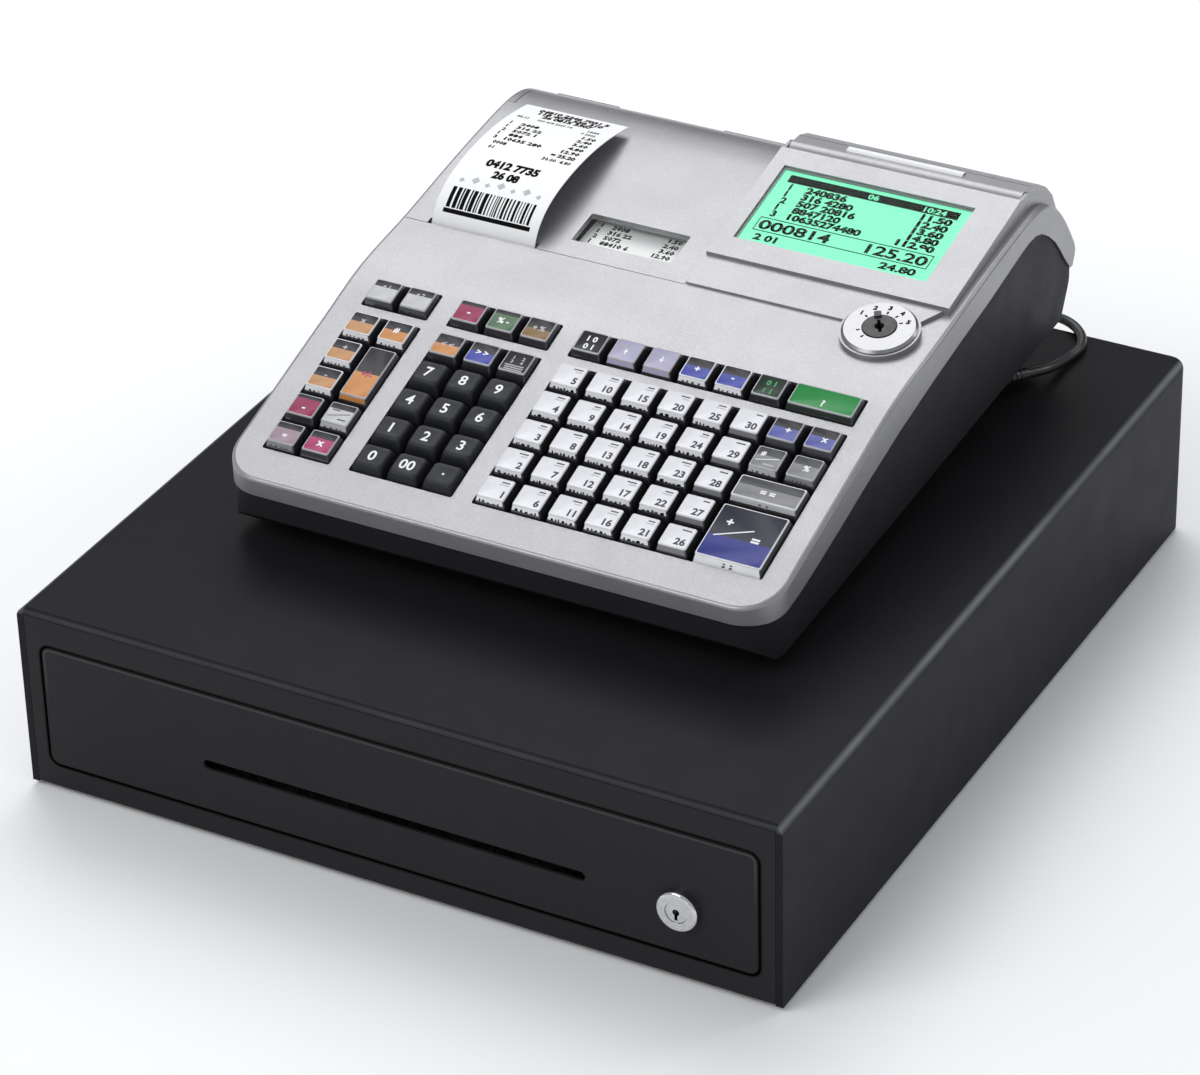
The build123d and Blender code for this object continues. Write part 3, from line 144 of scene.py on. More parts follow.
def plastic(name, col, rough=0.45, spec=0.5, var=0.06, var_scale=30, grain=2600, bump=0.10, dist=0.00004,
            rvar=0.06, coat=0.0, coat_rough=0.06, metal=0.0):
    """Moulded plastic or paint: slight colour drift, roughness drift and a fine grain."""
    k = Nodes(name)
    big = k.noise(var_scale, 3)
    a = tuple(max(0.0, c * (1 - var)) for c in col)
    b = tuple(min(1.0, c * (1 + var)) for c in col)
    k.link(k.ramp(big, [(0.3, a), (0.7, b)]), k.p.inputs["Base Color"])
    k.link(k.rng(k.noise(var_scale * 3.1, 2), rough - rvar, rough + rvar), k.p.inputs["Roughness"])
    k.set(spec=spec, metal=metal)
    if coat:
        k.set(coat=coat, coat_rough=coat_rough)
    k.bump(k.noise(grain, 2, 0.6), bump, dist)
    return k.m


def silver_paint(name, base=0.31, dark=0.293, light=0.345, metal=0.65, rough=0.40, flake=1700.0):
    """Silver metallic paint on plastic: small bright and dark flakes, faint mottling."""
    k = Nodes(name)
    v = k.new("ShaderNodeTexVoronoi", feature="F1")
    v.inputs["Scale"].default_value = flake
    k.link(k.co, v.inputs["Vector"])
    sep = k.new("ShaderNodeSeparateColor")
    k.link(v.outputs["Color"], sep.inputs[0])
    flakes = k.ramp(sep.outputs[0], [(0.0, (dark, dark * 0.993, dark * 1.035)), (0.35, (base, base * 0.993, base * 1.04)),
                                     (0.8, (base, base * 0.996, base * 1.045)), (1.0, (light, light * 0.995, light * 1.04))])
    cloud = k.ramp(k.noise(26, 4), [(0.3, 0.94), (0.7, 1.05)])
    k.link(k.mix(1.0, flakes, cloud, "MULTIPLY"), k.p.inputs["Base Color"])
    k.link(k.rng(sep.outputs[1], rough - 0.05, rough + 0.05, 0.0, 1.0), k.p.inputs["Roughness"])
    k.set(metal=metal, spec=0.5, coat=0.30, coat_rough=0.14)
    k.bump(k.noise(1900, 2, 0.6), 0.05, 0.00003)
    return k.m


def coated_steel(name, col, rough=0.5, spec=0.25, orange=900.0, bump=0.22, painted_fold_highlight=None, painted_panel_outline=None):
    """Powder coat: fine orange peel, faint scuffs; painted highlights along the folds, a painted shadow in the gap
    round the drawer panel and a painted highlight along the panel's top edge.
    """
    k = Nodes(name)
    def math(op, a, b=None):
        n = k.new("ShaderNodeMath", operation=op)
        for sock, v in zip(n.inputs, (a, b)):
            if hasattr(v, "links"):
                k.link(v, sock)
            elif v is not None:
                sock.default_value = v
        return n.outputs[0]
    peel = k.noise(orange, 2, 0.5)
    scuff = k.noise(70, 5, 0.65, (1.0, 0.25, 1.0))
    c = k.ramp(scuff, [(0.35, col), (0.75, tuple(c * 1.10 for c in col))])
    r = k.rng(k.noise(45, 3), rough - 0.03, rough + 0.03)
    if painted_fold_highlight or painted_panel_outline:
        sep = k.new("ShaderNodeSeparateXYZ")
        k.link(k.co, sep.inputs[0])
        X, Y, Z = sep.outputs
        side = math("ABSOLUTE", X)
    if painted_fold_highlight:
        # painted highlight: the pale colour along the top's side folds and the faint one along its front edge stand in
        # for light caught by the folds
        ax, ay, az, pale, faint = painted_fold_highlight
        fx = k.rng(side, 0.0, 1.0, ax - 0.0036, ax - 0.0012)
        fz = k.rng(Z, 0.0, 1.0, az - 0.0036, az - 0.0012)
        fy = k.rng(Y, 1.0, 0.0, ay + 0.0006, ay + 0.0022)
        uneven = k.rng(k.noise(22, 3), 0.6, 1.0)
        c = k.mix(math("MULTIPLY", math("MULTIPLY", fy, fz), uneven), c, faint)
        c = k.mix(math("MULTIPLY", math("MULTIPLY", fx, fz), uneven), c, pale)
    if painted_panel_outline:
        # painted shadow: a near-black band either side of the drawer panel's outline stands in for the shade in the
        # gap; painted highlight: a paler line just inside its upper edge stands in for light caught by the panel's
        # rounded edge
        hx, hz, cz, rad = painted_panel_outline
        qx = math("MAXIMUM", math("SUBTRACT", side, hx - rad), 0.0)
        qz = math("MAXIMUM", math("SUBTRACT", math("ABSOLUTE", math("SUBTRACT", Z, cz)), hz - rad), 0.0)
        d = math("SUBTRACT", math("SQRT", math("ADD", math("MULTIPLY", qx, qx), math("MULTIPLY", qz, qz))), rad)
        painted_gap_shade = k.rng(math("ABSOLUTE", d), 1.0, 0.0, 0.0008, 0.0015)
        painted_edge_highlight = math("MULTIPLY", k.rng(math("ABSOLUTE", math("ADD", d, 0.0021)), 1.0, 0.0, 0.0002, 0.0008),
                   k.rng(Z, 0.0, 1.0, cz, cz + hz * 0.8))
        c = k.mix(painted_edge_highlight, c, lin(64, 64, 66))
        c = k.mix(painted_gap_shade, c, lin(8, 8, 9))
    k.link(c, k.p.inputs["Base Color"])
    k.link(r, k.p.inputs["Roughness"])
    k.set(spec=spec)
    k.bump(peel, bump, 0.00005)
    return k.m


def metal(name, col, rough=0.25, stretch=(1, 1, 1), scale=420, bump=0.08, rvar=0.07, aniso=0.0):
    k = Nodes(name)
    g = k.noise(scale, 4, 0.6, stretch)
    k.link(k.ramp(g, [(0.3, tuple(c * 0.86 for c in col)), (0.7, tuple(min(1, c * 1.06) for c in col))]),
           k.p.inputs["Base Color"])
    k.link(k.rng(g, rough - rvar, rough + rvar), k.p.inputs["Roughness"])
    k.set(metal=1.0)
    if aniso:
        k.set(aniso=aniso)
    k.bump(g, bump, 0.00003)
    return k.m


def glass(name, tint, rough=0.04, shine=0.9, base=0.02):
    """Clear or smoked sheet: mostly see-through, with a sharp reflection by Fresnel."""
    k = Nodes(name)
    tr = k.new("ShaderNodeBsdfTransparent")
    tr.inputs[0].default_value = (*tint, 1.0)
    gl = k.new("ShaderNodeBsdfGlossy")
    gl.inputs["Roughness"].default_value = rough
    gl.inputs["Color"].default_value = (shine, shine, shine, 1.0)
    lw = k.new("ShaderNodeLayerWeight")
    lw.inputs["Blend"].default_value = 0.5
    pw = k.new("ShaderNodeMath", operation="POWER")
    pw.inputs[1].default_value = 5.0
    k.link(lw.outputs["Facing"], pw.inputs[0])
    fr = k.new("ShaderNodeMath", operation="MULTIPLY_ADD")
    fr.inputs[1].default_value = 0.5
    fr.inputs[2].default_value = base
    k.link(pw.outputs[0], fr.inputs[0])
    mx = k.new("ShaderNodeMixShader")
    b = k.new("ShaderNodeBump")
    b.inputs["Strength"].default_value = 0.03
    b.inputs["Distance"].default_value = 0.00002
    k.link(k.noise(300, 2), b.inputs["Height"])
    k.link(b.outputs[0], gl.inputs["Normal"])
    k.link(fr.outputs[0], mx.inputs[0])
    k.link(tr.outputs[0], mx.inputs[1])
    k.link(gl.outputs[0], mx.inputs[2])
    k.link(mx.outputs[0], k.out.inputs[0])
    k.t.nodes.remove(k.p)
    return k.m


def paper_mat(name, col=0.84):
    k = Nodes(name)
    fib = k.noise(1400, 5, 0.7)
    cloud = k.noise(120, 3)
    a = k.ramp(fib, [(0.3, (col * 0.96, col * 0.96, col * 0.955)), (0.7, (col, col, col))])
    b = k.ramp(cloud, [(0.3, 0.975), (0.7, 1.0)])
    k.link(k.mix(1.0, a, b, "MULTIPLY"), k.p.inputs["Base Color"])
    k.link(k.rng(cloud, 0.52, 0.66), k.p.inputs["Roughness"])
    k.set(spec=0.3)
    k.bump(fib, 0.08, 0.00003)
    return k.m


def lit_face(name, col, glow):
    k = Nodes(name)
    n = k.noise(18, 2)
    c = k.ramp(n, [(0.3, tuple(x * 0.97 for x in col)), (0.7, col)])
    k.link(k.mix(1.0, c, (0.22, 0.22, 0.22), "MULTIPLY"), k.p.inputs["Base Color"])
    k.link(c, k.p.inputs["Emission Color"])
    k.set(glow=glow, rough=0.35, spec=0.3)
    k.bump(k.noise(3000, 1), 0.03, 0.00002)
    return k.m


M = {}
# the last two colours of the fold tuple are painted highlights along the cabinet's top folds
M["cabinet_paint"] = coated_steel("cabinet_paint", lin(31, 31, 33), 0.40, 0.055, 900.0, 0.22, (0.200, -0.225, 0.100, lin(120, 123, 127), lin(70, 70, 73)))
# the outline tuple draws a painted shadow in the gap round the drawer panel and a painted highlight along its top edge
M["front_paint"] = coated_steel("front_paint", lin(38, 38, 40), 0.42, 0.09, 900.0, 0.22, None, (0.1886, 0.0336, 0.049, 0.0056))
M["plated_steel"] = metal("plated_steel", (0.60, 0.61, 0.61), 0.30, (1, 6, 1), 260, 0.10, 0.08)
M["rubber"] = plastic("rubber", lin(30), 0.72, 0.3, 0.10, 60, 1500, 0.35, 0.00008)
M["chrome"] = metal("chrome", (0.66, 0.66, 0.67), 0.14, (1, 1, 1), 500, 0.03, 0.04)
M["ring_chrome"] = metal("ring_chrome", (0.31, 0.31, 0.315), 0.33, (1, 1, 1), 380, 0.10, 0.08)
M["tray_plastic"] = plastic("tray_plastic", lin(44, 44, 46), 0.55, 0.4, 0.08, 25, 1300, 0.30, 0.00008)
M["case_black"] = plastic("case_black", lin(33, 33, 36), 0.50, 0.15, 0.07, 22, 1700, 0.34, 0.00007, 0.05)
M["case_silver"] = silver_paint("case_silver")
M["display_silver"] = silver_paint("display_silver", 0.305, 0.288, 0.34, 0.65, 0.40, 1800.0)
M["clear_lens"] = glass("clear_lens", (0.99, 0.995, 0.99), 0.04, 0.55, 0.007)
M["smoked_lens"] = glass("smoked_lens", (0.16, 0.17, 0.18), 0.05)
M["lcd_face"] = lit_face("lcd_face", lin(118, 250, 192), 0.86)
M["paper"] = paper_mat("paper", 0.92)
M["roll_side"] = paper_mat("roll_side", 0.74)
M["frame_plastic"] = plastic("frame_plastic", lin(58, 58, 60), 0.55, 0.4, 0.08, 30, 1500, 0.25, 0.00006)
M["guide_plastic"] = plastic("guide_plastic", lin(26, 26, 28), 0.55, 0.35, 0.08, 30, 1500, 0.25, 0.00006)
M["circuit_green"] = plastic("circuit_green", (0.02, 0.12, 0.045), 0.35, 0.5, 0.25, 90, 900, 0.12, 0.00005)
M["part_dark"] = plastic("part_dark", lin(40, 40, 42), 0.45, 0.5, 0.15, 60, 900, 0.15, 0.00005)
M["cord_jacket"] = plastic("cord_jacket", lin(30, 30, 32), 0.34, 0.55, 0.08, 80, 1800, 0.18, 0.00004)
M["plug_black"] = plastic("plug_black", lin(32, 32, 34), 0.46, 0.45, 0.08, 60, 1500, 0.25, 0.00006)
M["switch_black"] = plastic("switch_black", lin(50, 50, 52), 0.42, 0.4, 0.10, 120, 2200, 0.15, 0.00004)
M["display_back"] = plastic("display_back", lin(24, 26, 28), 0.4, 0.4)
# keys
K = {}
def key_mat(name, rgb, rough=0.42, coat=0.10):
    K[name] = plastic("key_" + name, lin(*rgb), rough, 0.30, 0.05, 160, 2400, 0.05, 0.00002, 0.05, coat, 0.12)
for nm, rgb in {
    "black": (40, 39, 43), "black2": (30, 30, 33), "tan": (186, 138, 92), "orange": (196, 132, 72), "crimson": (142, 26, 74),
    "pink": (165, 48, 100), "greygreen": (74, 106, 78), "gold": (128, 98, 56), "blue": (58, 66, 158), "deepblue": (38, 46, 128),
    "navy": (34, 36, 52), "peri": (84, 90, 160), "lavender": (172, 168, 192), "green": (36, 134, 66), "darkgreen": (26, 44, 34),
    "grey": (128, 128, 130), "darkgrey": (70, 71, 74), "lightgrey": (188, 188, 190), "white": (236, 236, 238),
    "mauve": (150, 130, 142), "label": (228, 228, 231),
}.items():
    key_mat(nm, rgb)
K["side"] = plastic("key_side", lin(34, 34, 37), 0.30, 0.5, 0.08, 200, 1500, 0.05, 0.00002, 0.05, 1.0, 0.08)
K["rim"] = plastic("key_rim", lin(150, 150, 154), 0.22, 0.6, 0.06, 200, 1500, 0.03, 0.00002, 0.05, 1.0, 0.05)
K["rimw"] = plastic("key_rim_light", lin(205, 205, 209), 0.22, 0.6, 0.05, 200, 1500, 0.03, 0.00002, 0.05, 1.0, 0.05)
K["num"] = plastic("key_num", lin(35, 36, 39), 0.46, 0.24, 0.06, 90, 2300, 0.22, 0.00005)
K["ink_white"] = plastic("ink_white", lin(236, 236, 237), 0.6, 0.2, 0.03, 300)
K["ink_black"] = plastic("ink_black", lin(16, 16, 18), 0.8, 0.04, 0.08, 300)
K["ink_grey"] = plastic("ink_grey", lin(84, 83, 90), 0.8, 0.05, 0.08, 300)
K["ink_green"] = plastic("ink_green", lin(70, 160, 96), 0.6, 0.2, 0.05, 300)
K["ink_lcd"] = plastic("ink_lcd", lin(2, 12, 9), 0.8, 0.02, 0.05, 300)
K["ink_pale"] = plastic("ink_pale", lin(186, 186, 188), 0.6, 0.1, 0.05, 300)

NODE_MAT = {
    "drawer_cabinet": "cabinet_paint", "cabinet_floor": "plated_steel", "front_frame": "front_paint", "cabinet_feet": "rubber",
    "cabinet_rails": "plated_steel", "latch_solenoid": "plated_steel", "latch_bolt": "plated_steel",
    "drawer_front": "front_paint", "drawer_box": "plated_steel", "drawer_rails": "plated_steel", "till_tray": "tray_plastic",
    "clip_rod": "plated_steel", "note_clip_1": "tray_plastic", "note_clip_2": "tray_plastic", "note_clip_3": "tray_plastic",
    "note_clip_4": "tray_plastic", "lock_barrel": "chrome", "lock_plug": "chrome", "lock_cam": "plated_steel",
    "register_base": "case_black", "register_feet": "rubber", "top_cover": "case_silver", "printer_cover": "case_silver",
    "tear_bar": "plated_steel", "journal_window": "clear_lens", "receipt_paper": "paper", "printer_frame": "frame_plastic",
    "platen_roller": "rubber", "receipt_roll": "paper", "journal_roll": "paper", "journal_paper": "paper",
    "display_housing": "display_silver", "lcd_window": "clear_lens", "lcd_panel": "lcd_face", "rear_display": "display_silver",
    "rear_display_window": "smoked_lens", "mode_ring": "ring_chrome", "mode_rotor": "switch_black", "key_plate": "guide_plastic",
    "circuit_boards": "circuit_green", "case_screws": "plated_steel", "strain_relief": "cord_jacket",
    "mains_plug": "plug_black",
}
for name, mname in NODE_MAT.items():
    o = N[name]
    o.data.materials.clear()
    o.data.materials.append(M[mname])

# the plug's pins are bright metal, the parts on the boards dark
o = N["mains_plug"]
o.data.materials.append(M["chrome"])
for p in o.data.polygons:
    if p.center.y < 0.2559:
        p.material_index = 1
o = N["circuit_boards"]
o.data.materials.append(M["part_dark"])
for p in o.data.polygons:
    if p.center.y < 0.046 and 0.1137 < p.center.z < 0.140:
        p.material_index = 1


# ---------------------------------------------------------------- helpers for pieces
def make(name, bm, mats, body, smooth=None, replaces=()):
    me = bpy.data.meshes.new(name)
    bmesh.ops.recalc_face_normals(bm, faces=bm.faces)
    bm.to_mesh(me)
    bm.free()
    for m in mats:
        me.materials.append(m)
    ob = bpy.data.objects.new(name, me)
    scene.collection.objects.link(ob)
    if smooth is not None:
        for p in me.polygons:
            p.use_smooth = True
        me.set_sharp_from_angle(angle=math.radians(smooth))
    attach(ob, body)
    if replaces:
        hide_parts(*replaces)
    return ob


class Frame:
    """Plane tilted about X: u across, s up the slope, n out of it."""
    def __init__(self, origin, slope):
        self.o = Vector(origin)
        self.c, self.s = math.cos(slope), math.sin(slope)

    def __call__(self, u, s, n=0.0):
        return Vector((self.o.x + u * MM, self.o.y + (s * self.c - n * self.s) * MM, self.o.z + (s * self.s + n * self.c) * MM))


DECK = Frame((0, -0.150, 0.133), math.radians(17.52))
PANEL = Frame((0.0715, 0.0695, 0.1958), math.radians(12.8))
MODE = Frame((0.1172, 0.0446, 0.1890), math.radians(12.0))

_text = {}
def glyphs(s, bold=0.0, res=3):
    """Outline of a row of numerals or signs as a flat mesh one unit high, closed on both sides."""
    key = (s, bold, res)
    if key not in _text:
        cu = bpy.data.curves.new("t", "FONT")
        cu.body = s
        cu.size = 1.0
        cu.resolution_u = res
        cu.offset = bold
        cu.extrude = 0.5
        ob = bpy.data.objects.new("t", cu)
        scene.collection.objects.link(ob)
        bpy.context.view_layer.update()
        me = bpy.data.meshes.new_from_object(ob)
        vs = [v.co.copy() for v in me.vertices]
        fs = [tuple(p.vertices) for p in me.polygons]
        bpy.data.objects.remove(ob)
        bpy.data.curves.remove(cu)
        bpy.data.meshes.remove(me)
        _text[key] = (vs, fs)
    return _text[key]


class Print:
    """Thin printed or inlaid marks on a surface, all in one mesh."""
    def __init__(self, place, thick=0.03):
        self.bm = bmesh.new()
        self.place = place
        self.thick = thick
        self.mats = []

    def mi(self, m):
        if m not in self.mats:
            self.mats.append(m)
        return self.mats.index(m)

    def text(self, s, u, v, size, m, align="l", bold=0.0, slant=0.0, res=3, sx=1.0, n=0.0):
        vs, fs = glyphs(s, bold, res)
        if not vs:
            return
        w = max(p.x for p in vs) - min(p.x for p in vs)
        x0 = min(p.x for p in vs)
        off = {"l": 0.0, "c": -w / 2, "r": -w}[align]
        out = []
        for p in vs:
            x = (p.x - x0 + off) * size * sx + slant * p.y * size
            out.append(self.bm.verts.new(self.place(u + x, v + p.y * size, n + (0.5 + p.z) * self.thick)))
        k = self.mi(m)
        for f in fs:
            try:
                self.bm.faces.new([out[i] for i in f]).material_index = k
            except ValueError:
                pass

    def poly(self, pts, m, n=0.0):
        """Flat convex shape with thickness."""
        k = self.mi(m)
        lowv = [self.bm.verts.new(self.place(x, y, n)) for x, y in pts]
        top = [self.bm.verts.new(self.place(x, y, n + self.thick)) for x, y in pts]
        fs = [self.bm.faces.new(top), self.bm.faces.new(lowv[::-1])]
        for i in range(len(pts)):
            j = (i + 1) % len(pts)
            fs.append(self.bm.faces.new((lowv[i], lowv[j], top[j], top[i])))
        for f in fs:
            f.material_index = k

    def bar(self, u0, v0, u1, v1, m, n=0.0, step=3.0):
        """Rectangle, cut into short lengths up the surface so that it follows a curve."""
        parts = max(1, int(math.ceil(abs(v1 - v0) / step)))
        for i in range(parts):
            a, b = v0 + (v1 - v0) * i / parts, v0 + (v1 - v0) * (i + 1) / parts
            self.poly([(u0, a), (u1, a), (u1, b), (u0, b)], m, n)

    def line(self, a, b, w, m, n=0.0):
        d = Vector((b[0] - a[0], b[1] - a[1])).normalized()
        q = Vector((-d.y, d.x)) * (w / 2)
        self.poly([(a[0] - q.x, a[1] - q.y), (b[0] - q.x, b[1] - q.y), (b[0] + q.x, b[1] + q.y), (a[0] + q.x, a[1] + q.y)], m, n)

    def done(self, name, body):
        return make(name, self.bm, self.mats, body)


def drop_on(node, lift=0.02):
    """Place function: straight down onto a node's upper surface, then out along its normal."""
    me = N[node].data
    tree = BVHTree.FromPolygons([v.co.copy() for v in me.vertices], [tuple(p.vertices) for p in me.polygons])
    def place(x, y, n=0.0):
        hit, nor, _, _ = tree.ray_cast(Vector((x * MM, y * MM, 0.5)), Vector((0, 0, -1)))
        if hit is None:
            raise RuntimeError(f"{node}: nothing under {x:.1f}, {y:.1f}")
        if nor.z < 0:
            nor = -nor
        return hit + nor * ((n + lift) * MM)
    return place


# ---------------------------------------------------------------- keys
PITCH, KEY = 19.0, 16.9
U_S, M_S = 147.3, 86.3
BLK = {"A": (-113.0, U_S, 2, 1), "B": (-113.0, M_S, 2, 5), "C": (-56.0, U_S, 3, 1), "D": (-56.0, M_S, 3, 5),
       "E": (57.9, U_S, 8, 1), "F": (57.9, M_S, 8, 5)}


def grid(blk, col, row):
    xc, sc, nx, ny = BLK[blk]
    return xc + (col - (nx - 1) / 2) * PITCH, sc + (row - (ny - 1) / 2) * PITCH


def ring(hw, v0, v1, r, seg=4):
    """Rounded rectangle, u from -hw to hw, v from v0 to v1."""
    pts = []
    for cx, cy, a0 in ((hw - r, v0 + r, -90), (hw - r, v1 - r, 0), (-hw + r, v1 - r, 90), (-hw + r, v0 + r, 180)):
        for i in range(seg + 1):
            a = math.radians(a0 + 90 * i / seg)
            pts.append((cx + r * math.cos(a), cy + r * math.sin(a)))
    return pts


class Keys:
    def __init__(self):
        self.bm = bmesh.new()
        self.mats = []

    def mi(self, m):
        if m not in self.mats:
            self.mats.append(m)
        return self.mats.index(m)

    def rings(self, x, s, levels):
        out = []
        for n, pts in levels:
            out.append([self.bm.verts.new(DECK(x + a, s + b, n)) for a, b in pts])
        return out

    def skin(self, a, b, m, front=None):
        k = len(a)
        up = Vector((0, DECK.c, DECK.s))
        for i in range(k):
            j = (i + 1) % k
            f = self.bm.faces.new((a[i], a[j], b[j], b[i]))
            f.normal_update()
            isf = front is not None and f.normal.dot(up) < -0.75
            f.material_index = self.mi(front if isf else m)

    def level(self, nx, ny, n, e=0.0, r=None):
        w, d = PITCH * (nx - 1) + KEY, PITCH * (ny - 1) + KEY
        t = max(0.0, (n + 1.6) / 4.8)
        rr = (1.2 - 0.2 * t if r is None else r) - (e * 0.35 if r is None else 0)
        return (n, ring(w / 2 - 1.3 * t - e, -d / 2 + 2.7 * t + e, d / 2 - 1.3 * t - e, max(0.3, rr)))

    def cap(self, x, s, nx, ny, zones, front, flap=0.55, rim="rim", side="side", cut=()):
        """Clear cap over an insert. zones: (share from the rear, material) from the rear to the front."""
        L = self.level
        top_in = 3.12
        rs = self.rings(x, s, [
            L(nx, ny, -4.8, 0.25), L(nx, ny, -4.55), L(nx, ny, -1.6), L(nx, ny, flap - 0.25), L(nx, ny, flap), L(nx, ny, 2.62),
            L(nx, ny, 3.02, 0.06), L(nx, ny, 3.20, 0.24), L(nx, ny, 3.20, 0.50), L(nx, ny, top_in, 0.62)])
        S, R = K[side], K[rim]
        F = K[front] if front else None
        for i, (m, f) in enumerate(((S, None), (S, None), (S, None), (S, None), (S, F), (R, None), (R, None), (R, None), (R, None))):
            self.skin(rs[i], rs[i + 1], m, f)
        self.bm.faces.new(rs[0][::-1]).material_index = self.mi(S)
        face = self.bm.faces.new(rs[-1])
        face.material_index = self.mi(K[zones[-1][1]])
        w, d = PITCH * (nx - 1) + KEY, PITCH * (ny - 1) + KEY
        v1, v0 = d / 2 - 1.3, -d / 2 + 2.7
        cuts, share = [], 0.0
        for sh, _ in zones[:-1]:
            share += sh
            cuts.append(v1 - (v1 - v0) * share)
        faces = [face]
        nrm = Vector((0, DECK.c, DECK.s))
        for cv in cuts:
            geom = list({v for f in faces for v in f.verts}) + list({e for f in faces for e in f.edges}) + faces
            res = bmesh.ops.bisect_plane(self.bm, geom=geom, plane_co=DECK(x, s + cv, top_in), plane_no=nrm, dist=1e-7)
            faces = [g for g in res["geom"] if isinstance(g, bmesh.types.BMFace)]
        for f in faces:
            c = f.calc_center_median()
            v = (c.y - DECK.o.y) * DECK.c / MM + (c.z - DECK.o.z) * DECK.s / MM - s
            k = 0
            for cv in cuts:
                if v < cv:
                    k += 1
            f.material_index = self.mi(K[zones[k][1]])
        return v0, v1

    def solid(self, x, s, nx=1, ny=1):
        """Solid moulded key with soft edges and a slight dish."""
        w, d = PITCH * (nx - 1) + KEY, PITCH * (ny - 1) + KEY
        lv = []
        for n, t, e, r in ((-4.8, 0, 0.3, 1.3), (-4.5, 0, 0, 1.4), (-1.6, 0, 0, 1.5), (1.6, 0.667, 0, 1.9), (2.35, 0.823, 0.02, 2.1),
                           (2.8, 0.917, 0.2, 2.2), (3.08, 0.975, 0.5, 2.2), (3.2, 1.0, 1.0, 2.0), (3.14, 1.0, 2.2, 1.8), (3.0, 1.0, 3.8, 1.4)):
            lv.append((n, ring(w / 2 - 1.3 * t - e, -d / 2 + 2.7 * t + e, d / 2 - 1.3 * t - e, r, 5)))
        rs = self.rings(x, s, lv)
        m = K["num"]
        for i in range(len(rs) - 1):
            self.skin(rs[i], rs[i + 1], m)
        self.bm.faces.new(rs[-1]).material_index = self.mi(m)
        self.bm.faces.new(rs[0][::-1]).material_index = self.mi(m)

    def stem(self, x, s, nx, ny):
        m = self.mi(K["guide"])
        cx, cs = x - PITCH * (nx - 1) / 2, s - PITCH * (ny - 1) / 2
        a = [self.bm.verts.new(DECK(cx + u, cs + v, -4.7)) for u, v in ring(2.7, -2.7, 2.7, 0.3, 1)]
        b = [self.bm.verts.new(DECK(cx + u, cs + v, -12.8)) for u, v in ring(2.6, -2.6, 2.6, 0.3, 1)]
        for i in range(len(a)):
            j = (i + 1) % len(a)
            self.bm.faces.new((b[i], b[j], a[j], a[i])).material_index = m
        self.bm.faces.new(a).material_index = m
        self.bm.faces.new(b[::-1]).material_index = m


K["guide"] = M["guide_plastic"]
KEYS = {
    "feed_keys": [("A", c, 0, 1, 1) for c in (0, 1)],
    "left_keys": [("B", 0, r, 1, 1) for r in range(5)] + [("B", 1, 4, 1, 1), ("B", 1, 1, 1, 1), ("B", 1, 0, 1, 1)],
    "tall_key": [("B", 1, 2.5, 1, 2)],
    "correction_keys": [("C", c, 0, 1, 1) for c in range(3)],
    "entry_keys": [("D", c, 4, 1, 1) for c in range(3)],
    "number_keys_high": [("D", c, r, 1, 1) for r in (3, 2) for c in range(3)],
    "number_keys_low": [("D", c, r, 1, 1) for r in (1, 0) for c in range(3)],
    "upper_keys": [("E", c, 0, 1, 1) for c in range(6)],
    "wide_key": [("E", 6.5, 0, 2, 1)],
    "item_keys_left": [("F", c, r, 1, 1) for c in (0, 1) for r in range(5)],
    "item_keys_middle": [("F", c, r, 1, 1) for c in (2, 3) for r in range(5)],
    "item_keys_right": [("F", c, r, 1, 1) for c in (4, 5) for r in range(5)],
    "payment_keys": [("F", c, r, 1, 1) for c in (6, 7) for r in (4, 3)],
    "subtotal_key": [("F", 6.5, 2, 2, 1)],
    "total_key": [("F", 6.5, 0.5, 2, 2)],
}
W, G, B_, P_ = K["ink_white"], K["ink_grey"], K["ink_black"], K["ink_pale"]
